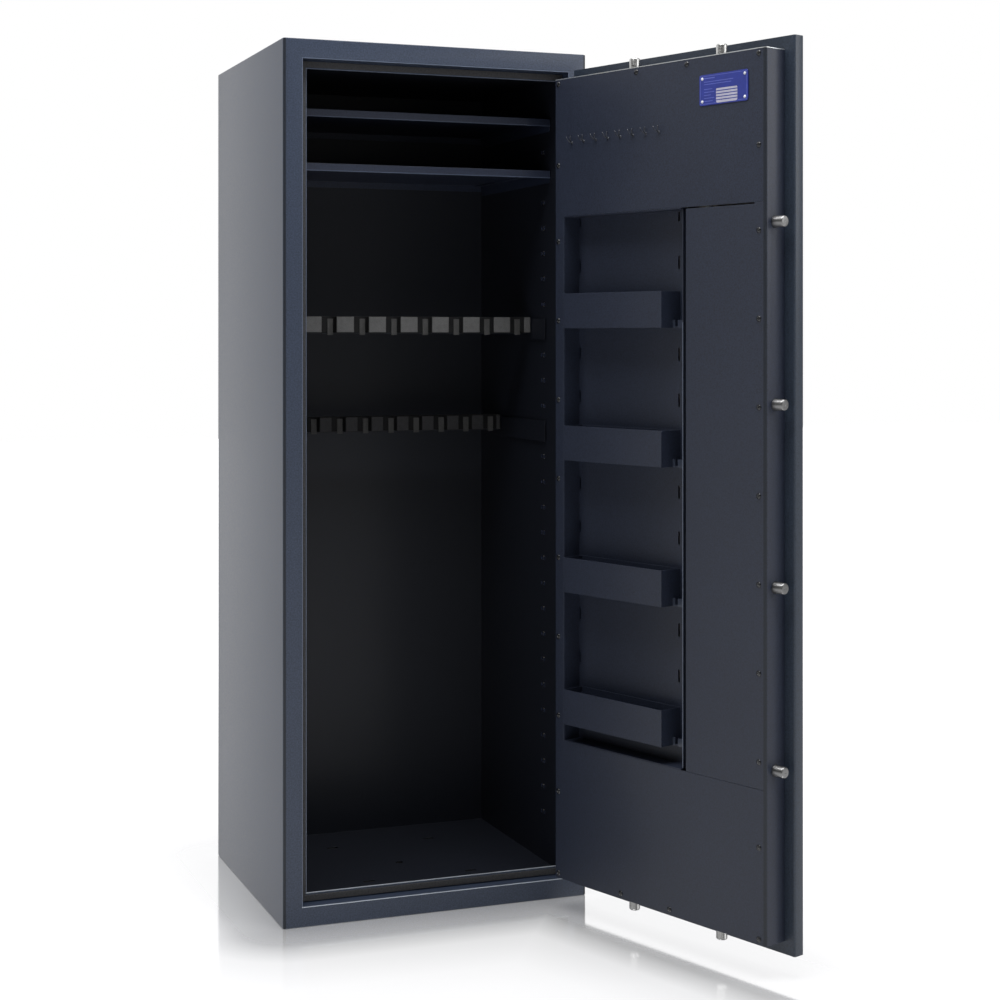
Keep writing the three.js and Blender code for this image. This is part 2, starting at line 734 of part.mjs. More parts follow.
// Lever that hangs straight down while the bolts are thrown
function handleLever() {
  const hub = [[0, 0], [16, 0], [16, 34], [13, 44], [0, 46]];
  const [wide, end, tall] = [13, 9, 128];
  const grip = outline([
    [CAM.s - wide, CAM.z],
    [CAM.s - end, CAM.z - tall, 8],
    [CAM.s + end, CAM.z - tall, 8],
    [CAM.s + wide, CAM.z],
  ]);
  return turned(hub, leafAt(CAM.s, HUB_BACK, CAM.z), at(0, -1, 0), 28)
    .add(leafPlate(grip, -48, -36))
    .subtract(squareBar(4.3, -40, 0));
}

const handleSpindle = () => squareBar(4, -39.5, 31);

function keyholeEscutcheon() {
  const [half, low, high] = [17, LOCK.z - 32, LOCK.z + 36];
  const corners = [
    [LOCK.s - half, low, 14],
    [LOCK.s + half, low, 14],
    [LOCK.s + half, high, 14],
    [LOCK.s - half, high, 14],
  ];
  return leafPlate(outline(corners), -3.3, -GAP).subtract(keyhole(-4, 0));
}

const COVER_PIVOT = LOCK.z + 24;

function keyholeCover() {
  const corners = [
    [LOCK.s - 13, LOCK.z - 16, 10],
    [LOCK.s + 13, LOCK.z - 16, 10],
    [LOCK.s + 8, COVER_PIVOT + 9, 7],
    [LOCK.s - 8, COVER_PIVOT + 9, 7],
  ];
  return leafPlate(outline(corners), -6.3, -3.6).subtract(
    rod(3.3, 5, leafAt(LOCK.s, -7.5, COVER_PIVOT), ALONG.y, 20),
  );
}

function coverRivet() {
  const profile = [[0, 0], [3, 0], [3, 3.3], [5.5, 3.3], [5.5, 4.3], [3.5, 5.6], [0, 6]];
  return turned(profile, leafAt(LOCK.s, -3.6, COVER_PIVOT), at(0, -1, 0), 20);
}

// ---------------------------------------------------------------- assembly

place(safe, "outer_shell", outerShell(), "paint");
place(safe, "inner_liner", innerLiner(), "liner");
insulationBoards();
place(safe, "door_seal", doorSeal(), "seal");
SHELF_TOPS.forEach((top, i) => {
  place(safe, `shelf_${i + 1}`, shelf(top), "liner");
  place(safe, `shelf_${i + 1}_rail_left`, shelfRail(top, -1), "liner");
  place(safe, `shelf_${i + 1}_rail_right`, shelfRail(top, 1), "liner");
});
for (const rack of RACKS) {
  place(safe, `${rack.name}_rack_carrier`, rackCarrier(rack), "liner");
  place(safe, `${rack.name}_rack_foam`, rackFoam(rack), "foam");
}
HINGE_HEIGHTS.forEach((middle, i) => {
  const name = ["bottom", "top"][i];
  place(safe, `${name}_hinge_fixed_knuckle`, lowerKnuckle(middle), "paint");
  place(safe, `${name}_hinge_pin`, hingePin(middle), "zinc");
  place(safe, `${name}_hinge_washer`, thrustWasher(middle), "brass");
  place(leaf, `${name}_hinge_door_strap`, upperKnuckle(middle), "paint");
});

place(leaf, "door_plate", doorPlate(), "paint");
place(leaf, "door_infill", doorInfill(), "board");
place(leaf, "door_casing", doorCasing(), "inside");
place(leaf, "side_cover", sideCover(), "inside");
place(leaf, "recess_pan", recessPan(), "inside");
TRAY_FLOORS.forEach((floor, i) => place(leaf, `tray_${i + 1}`, tray(floor), "inside"));
place(leaf, "label_plate", labelPlate(), "label");
place(leaf, "mechanism_plate", mechanismPlate(), "zinc");
place(leaf, "lock_case", lockCase(), "zinc");
place(leaf, "handle_rose", handleRose(), "steel");
place(leaf, "keyhole_escutcheon", keyholeEscutcheon(), "steel");
place(leaf, "keyhole_cover_rivet", coverRivet(), "steel");

place(leaf, "side_bolt_bar", sideBar(), "zinc");
SIDE_BOLTS.forEach((z, i) => {
  const tip = leafAt(THROW.side, BOLT.axis, z);
  place(leaf, `side_bolt_${i + 1}`, bolt(tip, ALONG.free, BOLT.length), "steel");
});
place(leaf, "top_bolt_bar", topBar(), "zinc");
place(leaf, "bottom_bolt_bar", bottomBar(), "zinc");
END_BOLTS.forEach((s, i) => {
  const top = leafAt(s, BOLT.axis, THROW.top);
  const bottom = leafAt(s, BOLT.axis, THROW.bottom);
  place(leaf, `top_bolt_${i + 1}`, bolt(top, ALONG.z, BOLT.length), "steel");
  place(leaf, `bottom_bolt_${i + 1}`, bolt(bottom, ALONG.down, BOLT.length), "steel");
});
place(leaf, "handle_lever", handleLever(), "steel");
place(leaf, "handle_spindle", handleSpindle(), "zinc");
place(leaf, "cam_disc", camDisc(), "zinc");
place(leaf, "keyhole_cover", keyholeCover(), "steel");
place(leaf, "lock_bolt", lockBolt(), "brass");

export default safe;
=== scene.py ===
import json
import math

import bmesh
import bpy
from mathutils import Matrix, Vector

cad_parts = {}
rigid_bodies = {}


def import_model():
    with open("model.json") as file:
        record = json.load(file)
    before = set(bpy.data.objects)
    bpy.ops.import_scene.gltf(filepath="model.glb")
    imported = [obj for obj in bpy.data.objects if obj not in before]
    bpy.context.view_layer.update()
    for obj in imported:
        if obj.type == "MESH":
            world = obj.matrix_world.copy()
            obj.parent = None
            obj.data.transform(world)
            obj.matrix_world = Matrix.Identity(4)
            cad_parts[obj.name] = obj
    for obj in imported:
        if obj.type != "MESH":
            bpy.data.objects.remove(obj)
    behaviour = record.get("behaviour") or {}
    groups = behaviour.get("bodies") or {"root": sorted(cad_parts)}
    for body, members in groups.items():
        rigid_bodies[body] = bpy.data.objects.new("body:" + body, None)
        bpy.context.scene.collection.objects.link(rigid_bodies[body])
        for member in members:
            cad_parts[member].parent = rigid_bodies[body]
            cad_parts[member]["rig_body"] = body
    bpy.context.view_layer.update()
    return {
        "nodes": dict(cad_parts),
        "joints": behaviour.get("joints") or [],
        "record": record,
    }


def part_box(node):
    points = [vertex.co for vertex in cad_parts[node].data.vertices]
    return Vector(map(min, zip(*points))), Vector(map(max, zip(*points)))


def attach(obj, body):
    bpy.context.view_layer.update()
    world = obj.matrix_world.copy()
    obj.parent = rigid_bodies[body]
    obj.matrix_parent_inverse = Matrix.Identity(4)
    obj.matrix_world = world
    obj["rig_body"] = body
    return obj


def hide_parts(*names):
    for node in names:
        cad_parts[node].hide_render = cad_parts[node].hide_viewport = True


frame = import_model()

# ---------------------------------------------------------------- places, from the frame

MM = 0.001
NODES = frame["nodes"]
JOINTS = {joint["name"]: joint for joint in frame["joints"]}
OPENINGS = {hole["name"]: hole["box_m"] for hole in frame["record"]["physics"]["openings"]}
DOOR_HINGE = Vector(JOINTS["door_hinge"]["pos_m"])
DOOR_ANGLE = math.radians(-JOINTS["door_hinge"]["range_deg"][0])
SWING = (
    Matrix.Translation(DOOR_HINGE)
    @ Matrix.Rotation(DOOR_ANGLE, 4, "Z")
    @ Matrix.Translation(-DOOR_HINGE)
)


def corners_of(points):
    """Lowest and highest corner round some points."""
    low = Vector([min(point[i] for point in points) for i in range(3)])
    high = Vector([max(point[i] for point in points) for i in range(3)])
    return low, high


def turned_box(node, turn):
    """Lowest and highest corner of a CAD node once turn has moved it."""
    return corners_of([turn @ vertex.co for vertex in NODES[node].data.vertices])


# The leaf's own axes: x runs from the free edge to the hinge edge, so it is negative on the door,
# y from the outer face inwards, and z up.
PLATE_LOW, PLATE_HIGH = turned_box("door_plate", SWING.inverted())
LEAF = SWING @ Matrix.Translation((PLATE_HIGH.x, PLATE_LOW.y, 0))
LEAF_BACK = LEAF.inverted()
IN_PLACE = Matrix.Identity(4)


def leaf_box(node):
    """Lowest and highest corner of a door node in the leaf's own axes."""
    return turned_box(node, LEAF_BACK)


def numbered(start):
    """Names of the CAD nodes that are start and a number, in order."""
    return [name for name in sorted(NODES) if name.startswith(start) and name[len(start):].isdigit()]


SHELL_LOW, SHELL_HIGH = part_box("outer_shell")
CASING_LOW, CASING_HIGH = leaf_box("door_casing")

# ---------------------------------------------------------------- materials

WHITE = (1, 1, 1, 1)


def srgb(red, green, blue):
    """A colour given as it shows on a screen, 0 to 255, as linear light."""
    linear = []
    for channel in (red, green, blue):
        share = channel / 255
        linear.append(share / 12.92 if share <= 0.04045 else ((share + 0.055) / 1.055) ** 2.4)
    return (*linear, 1)


class Surface:
    """A material with one Principled shader, and short ways to feed it."""

    def __init__(self, name, **constants):
        self.material = bpy.data.materials.new(name)
        self.material.use_nodes = True
        self.tree = self.material.node_tree
        self.shader = self.tree.nodes["Principled BSDF"]
        for socket, value in constants.items():
            self.shader.inputs[socket.replace("_", " ")].default_value = value
        self.place = self.node("ShaderNodeTexCoord").outputs["Object"]

    def node(self, kind, **settings):
        """A new node of this kind, with these settings."""
        made = self.tree.nodes.new(kind)
        for name, value in settings.items():
            setattr(made, name, value)
        return made

    def join(self, output, target):
        """Links one node's output to another's input."""
        self.tree.links.new(output, target)

    def turned(self, angle, scale):
        """Object coordinates turned about Z, and squeezed or stretched along each axis."""
        mapping = self.node("ShaderNodeMapping")
        mapping.inputs["Rotation"].default_value = (0, 0, angle)
        mapping.inputs["Scale"].default_value = scale
        self.join(self.place, mapping.inputs["Vector"])
        return mapping.outputs["Vector"]

    def noise(self, size, detail=2, place=None):
        """Soft noise with lumps of about size metres."""
        made = self.node("ShaderNodeTexNoise")
        made.inputs["Scale"].default_value = 1 / size
        made.inputs["Detail"].default_value = detail
        self.join(place or self.place, made.inputs["Vector"])
        return made.outputs["Fac"]

    def cells(self, size, place=None):
        """Distance to the middle of each of many cells of about size metres."""
        made = self.node("ShaderNodeTexVoronoi")
        made.inputs["Scale"].default_value = 1 / size
        self.join(place or self.place, made.inputs["Vector"])
        return made.outputs["Distance"]

    def spread(self, value, low, high, start=0.3, end=0.7):
        """value, from start to end, mapped to low to high."""
        made = self.node("ShaderNodeMapRange")
        made.inputs["From Min"].default_value = start
        made.inputs["From Max"].default_value = end
        made.inputs["To Min"].default_value = low
        made.inputs["To Max"].default_value = high
        self.join(value, made.inputs["Value"])
        return made.outputs["Result"]

    def ramp(self, value, *stops):
        """A colour ramp: each stop is (place, colour)."""
        made = self.node("ShaderNodeValToRGB")
        elements = made.color_ramp.elements
        while len(elements) < len(stops):
            elements.new(0.5)
        for element, (position, colour) in zip(elements, stops):
            element.position = position
            element.color = colour
        self.join(value, made.inputs["Fac"])
        return made.outputs["Color"]

    def mixed(self, factor, first, second, blend="MIX"):
        """Two colours mixed; each value is a constant or another node's output."""
        made = self.node("ShaderNodeMix", data_type="RGBA", blend_type=blend)
        for socket, value in (("Factor", factor), ("A", first), ("B", second)):
            target = next(s for s in made.inputs if s.name == socket and s.enabled)
            if isinstance(value, bpy.types.NodeSocket):
                self.join(value, target)
            else:
                target.default_value = value
        return next(s for s in made.outputs if s.enabled)

    def maths(self, operation, *values):
        """One sum on plain values, each of them another node's output."""
        made = self.node("ShaderNodeMath", operation=operation)
        for value, target in zip(values, made.inputs):
            self.join(value, target)
        return made.outputs["Value"]

    def vector(self, operation, first, second=None):
        """One sum on vectors, with a constant as the second where the sum needs one."""
        made = self.node("ShaderNodeVectorMath", operation=operation)
        self.join(first, made.inputs[0])
        if second is not None:
            made.inputs[1].default_value = second
        return made.outputs["Value" if operation == "LENGTH" else "Vector"]

    def bump(self, height, depth, strength=1.0, under=None):
        """Relief of about depth metres, over the relief that is already there."""
        made = self.node("ShaderNodeBump")
        made.inputs["Strength"].default_value = strength
        made.inputs["Distance"].default_value = depth
        self.join(height, made.inputs["Height"])
        if under is not None:
            self.join(under, made.inputs["Normal"])
        return made.outputs["Normal"]

    def wear(self, colour=None, roughness=None, normal=None):
        """Feeds the shader, and gives the finished material."""
        for socket, value in (("Base Color", colour), ("Roughness", roughness), ("Normal", normal)):
            if value is not None:
                self.join(value, self.shader.inputs[socket])
        return self.material


def scaled(colour, share):
    """A colour made darker or lighter by a share."""
    return (*[channel * share for channel in colour[:3]], 1)


def powder_coat(name, colour, roughness, grain=2.4 * MM, contrast=0.35):
    """Fine-textured powder coat: an orange-peel skin, small light and dark specks, and slow clouds."""
    surface = Surface(name, Specular_IOR_Level=0.5, Coat_Weight=0.18, Coat_Roughness=0.22)
    peel = surface.noise(grain, detail=3)
    specks = surface.cells(grain * 0.6)
    clouds = surface.noise(0.16, detail=3)
    fine = surface.ramp(
        peel, (0.3, scaled(colour, 1 - contrast)), (0.5, colour), (0.72, scaled(colour, 1 + contrast))
    )
    shade = surface.ramp(clouds, (0.3, scaled(WHITE, 0.93)), (0.7, WHITE))
    painted = surface.mixed(1.0, fine, shade, blend="MULTIPLY")
    normal = surface.bump(peel, 0.2 * MM, strength=0.6)
    normal = surface.bump(specks, 0.08 * MM, strength=0.4, under=normal)
    rough = surface.spread(peel, roughness - 0.05, roughness + 0.07)
    return surface.wear(painted, rough, normal)


def turned_steel(name, colour, roughness, angle, stretch, scratch=0.35 * MM):
    """Bare metal with fine tool marks; stretch draws the noise out along them."""
    surface = Surface(name, Metallic=1.0)
    place = surface.turned(angle, stretch)
    marks = surface.noise(scratch, detail=4, place=place)
    smudge = surface.noise(14 * MM, detail=3)
    base = surface.ramp(marks, (0.25, scaled(colour, 0.78)), (0.75, colour))
    dull = surface.ramp(smudge, (0.35, scaled(WHITE, 0.88)), (0.65, WHITE))
    rough = surface.spread(marks, roughness - 0.06, roughness + 0.1)
    normal = surface.bump(marks, 0.02 * MM, strength=0.5)
    return surface.wear(surface.mixed(1.0, base, dull, blend="MULTIPLY"), rough, normal)


def zinc_plate(name, colour):
    """Zinc-plated steel: dull, with pale crystals and a slight yellow or blue cast."""
    surface = Surface(name, Metallic=0.9)
    crystals = surface.cells(7 * MM)
    cast = surface.noise(60 * MM, detail=3)
    base = surface.ramp(crystals, (0.0, colour), (0.9, scaled(colour, 0.8)))
    tint = surface.ramp(cast, (0.3, (0.93, 0.96, 1.0, 1)), (0.7, (1.0, 0.98, 0.9, 1)))
    rough = surface.spread(crystals, 0.36, 0.5, start=0, end=1)
    normal = surface.bump(surface.noise(0.8 * MM, detail=3), 0.02 * MM, strength=0.5)
    return surface.wear(surface.mixed(1.0, base, tint, blend="MULTIPLY"), rough, normal)


def foam_rubber(name, colour):
    """Dense closed-cell foam: matte, speckled, with open cells at its cut surface."""
    surface = Surface(name, Specular_IOR_Level=0.25)
    cells = surface.cells(1.1 * MM)
    lumps = surface.noise(9 * MM, detail=4)
    base = surface.ramp(cells, (0.05, scaled(colour, 0.72)), (0.45, colour), (0.9, scaled(colour, 1.12)))
    dirt = surface.ramp(lumps, (0.3, scaled(WHITE, 0.86)), (0.65, WHITE))
    normal = surface.bump(cells, 0.25 * MM, strength=0.7)
    normal = surface.bump(lumps, 0.3 * MM, strength=0.4, under=normal)
    rough = surface.spread(cells, 0.82, 0.97, start=0, end=1)
    return surface.wear(surface.mixed(1.0, base, dirt, blend="MULTIPLY"), rough, normal)


def seal_strip(name, colour):
    """Extruded seal with a dusty, matte skin."""
    surface = Surface(name, Specular_IOR_Level=0.3)
    dust = surface.noise(3 * MM, detail=4)
    base = surface.ramp(dust, (0.3, scaled(colour, 0.7)), (0.7, scaled(colour, 1.3)))
    rough = surface.spread(dust, 0.7, 0.92)
    return surface.wear(base, rough, surface.bump(dust, 0.08 * MM, strength=0.6))


def pressed_board(name, colour):
    """Mineral board with flakes and a rough sawn face."""
    surface = Surface(name, Specular_IOR_Level=0.2)
    flakes = surface.cells(4 * MM)
    fibres = surface.noise(1.2 * MM, detail=5)
    base = surface.ramp(flakes, (0.1, scaled(colour, 0.8)), (0.6, colour), (1.0, scaled(colour, 1.1)))
    rough = surface.spread(fibres, 0.85, 1.0)
    return surface.wear(base, rough, surface.bump(fibres, 0.3 * MM, strength=0.8))


def enamel(name, colour, roughness=0.3):
    """Printed or enamelled metal: nearly even colour under a thin gloss."""
    surface = Surface(name, Coat_Weight=0.4, Coat_Roughness=0.15)
    drift = surface.noise(12 * MM, detail=2)
    base = surface.ramp(drift, (0.3, scaled(colour, 0.9)), (0.7, scaled(colour, 1.08)))
    fine = surface.noise(0.7 * MM, detail=3)
    rough = surface.spread(fine, roughness, roughness + 0.12)
    return surface.wear(base, rough, surface.bump(fine, 0.01 * MM, strength=0.4))


STEEL = (0.62, 0.62, 0.61, 1)
# Tool marks: the turn that lays them along the open leaf, and how far they are drawn out on each axis
ROUND_BACK = -DOOR_ANGLE
MARKS_ACROSS_Z = (0.06, 0.06, 1.0)
MARKS_ACROSS_X = (1.0, 0.06, 0.06)

LOOKS = {
    "shell_paint": powder_coat("shell_paint", srgb(54, 64, 83), 0.42),
    "interior_paint": powder_coat("interior_paint", srgb(36, 44, 64), 0.5),
    "door_paint": powder_coat("door_paint", srgb(37, 44, 61), 0.5),
    "fire_board": pressed_board("fire_board", (0.52, 0.49, 0.43, 1)),
    "seal_rubber": seal_strip("seal_rubber", (0.06, 0.06, 0.063, 1)),
    "rack_foam": foam_rubber("rack_foam", (0.13, 0.13, 0.131, 1)),
    "bright_steel": turned_steel("bright_steel", STEEL, 0.28, ROUND_BACK, MARKS_ACROSS_Z),
    "zinc_steel": zinc_plate("zinc_steel", (0.44, 0.45, 0.46, 1)),
    "hinge_brass": turned_steel("hinge_brass", (0.56, 0.4, 0.17, 1), 0.34, 0, MARKS_ACROSS_Z),
    "label_blue": enamel("label_blue", srgb(32, 49, 144)),
}
# Painted shade: a darker copy of the interior paint for the inner liner and the rack carriers, which lie
# deep in shade
LINER_PAINTED_SHADE = powder_coat("liner_painted_shade", srgb(14, 19, 31), 0.55)
# Painted shade: the bottom board is near black, so the holes in the floor show as dark as the shade inside
# them
FLOOR_BOARD_SHADE = pressed_board("floor_board_painted_shade", (0.03, 0.03, 0.032, 1))
# Painted shade: a darker copy of the shell paint for the door plate, so its shaded inner flange comes out
# dark
PLATE_PAINTED_SHADE = powder_coat("plate_painted_shade", srgb(46, 56, 70), 0.42)
FOLD_SHADE = powder_coat("fold_shade", srgb(24, 31, 42), 0.5)
# Painted highlights: lighter copies of the paint, as fine lines on edges that catch the light; the sill's
# line is the brightest
EDGE_HIGHLIGHT = enamel("edge_highlight", srgb(96, 106, 126), 0.3)
SILL_HIGHLIGHT = enamel("sill_highlight", srgb(190, 198, 208), 0.3)
EDGE_HIGHLIGHT_SOFT = enamel("edge_highlight_soft", srgb(78, 88, 110), 0.35)
EDGE_HIGHLIGHT_DIM = enamel("edge_highlight_dim", srgb(50, 57, 72), 0.35)
FOAM_SHADE = foam_rubber("foam_shade", (0.012, 0.012, 0.013, 1))
# Painted shade: a darker copy of the rack foam for the back row, which lies in the dark
FOAM_BACK_ROW_SHADE = foam_rubber("foam_back_row_painted_shade", (0.05, 0.05, 0.053, 1))
BUFFER_RUBBER = foam_rubber("buffer_rubber", (0.08, 0.08, 0.08, 1))
# Bare bright metal for the casing's top edge, partly a painted highlight
EDGE_BARE_HIGHLIGHT = zinc_plate("edge_bare_highlight", (0.8, 0.82, 0.85, 1))
# Painted shade: a darker copy of the bright steel for the side bolts, whose tips face the light
SIDE_STEEL_SHADE = turned_steel("side_steel_painted_shade", (0.3, 0.3, 0.3, 1), 0.36, ROUND_BACK, MARKS_ACROSS_X)
LABEL_PALE = enamel("label_pale", srgb(190, 188, 205), 0.4)
LABEL_RIVET = enamel("label_rivet", srgb(226, 228, 238), 0.3)
LABEL_LINE = enamel("label_line", srgb(92, 104, 190), 0.35)
SCREW_BLACK = enamel("screw_black", srgb(24, 26, 31), 0.18)
HOOK_DARK = enamel("hook_dark", srgb(40, 44, 54), 0.3)

# CAD nodes whose look differs from the rest of their slot: each a darker copy, painted shade
SPECIAL_LOOKS = {
    "inner_liner": LINER_PAINTED_SHADE,
    "insulation_bottom": FLOOR_BOARD_SHADE,
    "upper_rack_carrier": LINER_PAINTED_SHADE,
    "lower_rack_carrier": LINER_PAINTED_SHADE,
    "door_plate": PLATE_PAINTED_SHADE,
}

# ---------------------------------------------------------------- CAD nodes

# Width of the small round on the edges of each kind of node, in metres; the longest name that fits wins
EDGE_ROUND = {
    "": 0.4 * MM,
    "outer_shell": 1.4 * MM,
    "door_plate": 1.2 * MM,
    "door_casing": 0.9 * MM,
    "inner_liner": 0.3 * MM,
    "insulation": 1.0 * MM,
    "handle_": 0.6 * MM,
    "tray_": 0.5 * MM,
    "shelf_": 0.5 * MM,
}
WELD = 0.01 * MM
SHARP = math.radians(32)


def round_edges(piece, width, segments=2):
    """Merges split corners, then rounds the sharp edges and leaves flat faces flat."""
    weld = piece.modifiers.new("weld", "WELD")
    weld.merge_threshold = WELD
    flat = piece.modifiers.new("flat", "DECIMATE")
    flat.decimate_type = "DISSOLVE"
    flat.angle_limit = math.radians(0.5)
    bevel = piece.modifiers.new("round", "BEVEL")
    bevel.width = width
    bevel.segments = segments
    bevel.limit_method = "ANGLE"
    bevel.angle_limit = SHARP
    bevel.harden_normals = True
    bevel.use_clamp_overlap = True


def dress(name):
    """Gives a CAD node its material and the round of its edges."""
    node = NODES[name]
    slot = node.material_slots[0].material.name
    node.material_slots[0].material = SPECIAL_LOOKS.get(name, LOOKS[slot.split(".")[0]])
    mesh = node.data
    for layer in ("custom_normal", "sharp_edge", "sharp_face"):
        if layer in mesh.attributes:
            mesh.attributes.remove(mesh.attributes[layer])
    fits = [kind for kind in EDGE_ROUND if name.startswith(kind)]
    round_edges(node, EDGE_ROUND[max(fits, key=len)])


for node_name in sorted(NODES):
    dress(node_name)

# ---------------------------------------------------------------- mesh code


def lathe(bm, profile, segments, matrix, socket=None):
    """Turns a profile of (radius, height) about Z. A ring named in socket is hexagonal."""
    rings = []
    for row, (radius, height) in enumerate(profile):
        if radius == 0:
            rings.append([bm.verts.new(matrix @ Vector((0, 0, height)))])
            continue
        ring = []
        for k in range(segments):
            angle = 2 * math.pi * k / segments
            reach = radius
            if socket and row in socket:
                reach = radius / math.cos((angle + math.pi / 6) % (math.pi / 3) - math.pi / 6)
            point = Vector((reach * math.cos(angle), reach * math.sin(angle), height))
            ring.append(bm.verts.new(matrix @ point))
        rings.append(ring)
    for first, second in zip(rings, rings[1:]):
        for k in range(segments):
            following = (k + 1) % segments
            corners = [first[k % len(first)], first[following % len(first)]]
            corners += [second[following % len(second)], second[k % len(second)]]
            bm.faces.new(list(dict.fromkeys(corners)))


def slab(bm, outline, low, high, matrix):
    """A flat outline of (x, y), raised from low to high along Z."""
    bottom = [bm.verts.new(matrix @ Vector((x, y, low))) for x, y in outline]
    top = [bm.verts.new(matrix @ Vector((x, y, high))) for x, y in outline]
    bm.faces.new(list(reversed(bottom)))
    bm.faces.new(top)
    for k in range(len(outline)):
        following = (k + 1) % len(outline)
        bm.faces.new([bottom[k], bottom[following], top[following], top[k]])


def loft(bm, rings):
    """Joins rings of equal length with faces, and closes both ends."""
    rows = [[bm.verts.new(point) for point in ring] for ring in rings]
    for first, second in zip(rows, rows[1:]):
        for k in range(len(first)):
            following = (k + 1) % len(first)
            bm.faces.new([first[k], first[following], second[following], second[k]])
    bm.faces.new(list(reversed(rows[0])))
    bm.faces.new(rows[-1])


def wire(bm, path, radius, sides=10):
    """A round wire along a path that lies in one plane, with flat ends."""
    flat = (path[1] - path[0]).cross(path[-1] - path[0]).normalized()
    rings = []
    for k, point in enumerate(path):
        ahead = (path[min(k + 1, len(path) - 1)] - path[max(k - 1, 0)]).normalized()
        across = flat.cross(ahead).normalized()
        ring = []
        for side in range(sides):
            angle = 2 * math.pi * side / sides
            ring.append(point + radius * (math.cos(angle) * across + math.sin(angle) * flat))
        rings.append(ring)
    loft(bm, rings)


def rounded(corners, steps=6):
    """An outline whose corners are (x, y, radius); each becomes an arc."""
    points = []
    for k, (x, y, radius) in enumerate(corners):
        here = Vector((x, y))
        before = (Vector(corners[k - 1][:2]) - here).normalized()
        after = (Vector(corners[(k + 1) % len(corners)][:2]) - here).normalized()
        if radius == 0:
            points.append((x, y))
            continue
        half = before.angle(after) / 2
        centre = here + (before + after).normalized() * (radius / math.sin(half))
        start = here + before * (radius / math.tan(half)) - centre
        end = here + after * (radius / math.tan(half)) - centre
        turn = math.atan2(start.x * end.y - start.y * end.x, start.dot(end))
        for step in range(steps + 1):
            spoke = Matrix.Rotation(turn * step / steps, 2) @ start
            points.append(tuple(centre + spoke))
    return points


def rectangle(x0, x1, y0, y1, radius):
    """The outline of a rectangle with round corners."""
    return rounded([(x0, y0, radius), (x1, y0, radius), (x1, y1, radius), (x0, y1, radius)])


def bar(bm, low, high, matrix):
    """A thin bar from corner to corner, with its upright edges just broken."""
    broken = 0.15 * min(abs(high.x - low.x), abs(high.y - low.y))
    slab(bm, rectangle(low.x, high.x, low.y, high.y, broken), low.z, high.z, matrix)


def in_metres(profile):
    """A profile of (radius, height) in millimetres, in metres."""
    return [(radius * MM, height * MM) for radius, height in profile]


def put(name, data):
    """A new object in the scene."""
    made = bpy.data.objects.new(name, data)
    bpy.context.scene.collection.objects.link(made)
    return made


def piece(name, bm, material, body, slot, smooth=True):
    """Makes a mesh object of bm that rides on body."""
    bmesh.ops.recalc_face_normals(bm, faces=bm.faces)
    mesh = bpy.data.meshes.new(name)
    bm.to_mesh(mesh)
    bm.free()
    if smooth:
        mesh.shade_smooth()
    mesh.materials.append(material)
    made = put(name, mesh)
    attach(made, body)
    return made


# Axes for what stands on the casing's face: X towards the free edge, Y up, Z out of the face
FACE_TURN = Matrix(((-1, 0, 0, 0), (0, 0, 1, 0), (0, 1, 0, 0), (0, 0, 0, 1)))


def on_casing(x, z, proud=0.0):
    """A place on the casing's face, with its own Z pointing away from the face."""
    return LEAF @ Matrix.Translation((x, CASING_HIGH.y + proud, z)) @ FACE_TURN


# ---------------------------------------------------------------- casing screws

# Places in millimetres: heights from the casing's middle, and places across from the hinge edge
SCREW_STEPS = [0, 137, 274, 411, 543, 684.5]
SCREW_COLUMNS = [-9, -453]
TOP_SCREWS = [-194, -305]
BOTTOM_SCREWS = [-158.5, -267.5]
SCREW_HEAD = [
    (4.6, 0.05), (4.6, 0.35), (4.35, 0.9), (3.6, 1.55), (2.6, 1.9), (1.55, 2.0), (1.3, 1.95),
    (1.3, 0.6), (0, 0.4),
]
SCREW_SOCKET = (6, 7)


def casing_screws():
    """Round screw heads with a hexagonal socket, along the four sides of the casing."""
    middle = (CASING_LOW.z + CASING_HIGH.z) / 2
    top = middle + SCREW_STEPS[-1] * MM
    bottom = middle - SCREW_STEPS[-1] * MM
    places = [(x, top) for x in TOP_SCREWS] + [(x, bottom) for x in BOTTOM_SCREWS]
    for column in SCREW_COLUMNS:
        heights = {middle + sign * step * MM for step in SCREW_STEPS for sign in (-1, 1)}
        places += [(column, z) for z in sorted(heights)]
    bm = bmesh.new()
    for x, z in places:
        lathe(bm, in_metres(SCREW_HEAD), 24, on_casing(x * MM, z), socket=SCREW_SOCKET)
    piece("casing_screws", bm, SCREW_BLACK, "door", "door_paint")


casing_screws()

# ---------------------------------------------------------------- bare edge of the casing, standing in for its highlight too

TOP_EDGE = {"tall": 1.3, "proud": 0.25, "deep": 1.0, "fold": 5, "hinge_fold": 1.5}


def casing_top_edge():
    """The cut edge of the casing's top sheet: a bare bright line round its face and its two sides, partly
    bare metal and partly a painted highlight of the light along that edge.
    """
    edge = {key: size * MM for key, size in TOP_EDGE.items()}
    proud, inner = edge["proud"], edge["proud"] - edge["deep"]

    def path(offset):
        left, right = CASING_LOW.x - offset, CASING_HIGH.x + offset
        back, face = CASING_LOW.y, CASING_HIGH.y + offset
        return rounded([
            (left, back, 0),
            (left, face, edge["fold"] + offset),
            (right, face, edge["hinge_fold"] + offset),
            (right, back, 0),
        ])

    bm = bmesh.new()
    outline = path(proud) + list(reversed(path(inner)))
    slab(bm, outline, CASING_HIGH.z - edge["tall"], CASING_HIGH.z, LEAF)
    piece("casing_top_edge", bm, EDGE_BARE_HIGHLIGHT, "door", "door_paint", smooth=False)


casing_top_edge()

# ---------------------------------------------------------------- edges and folds: painted highlights on edges, painted shade on folds

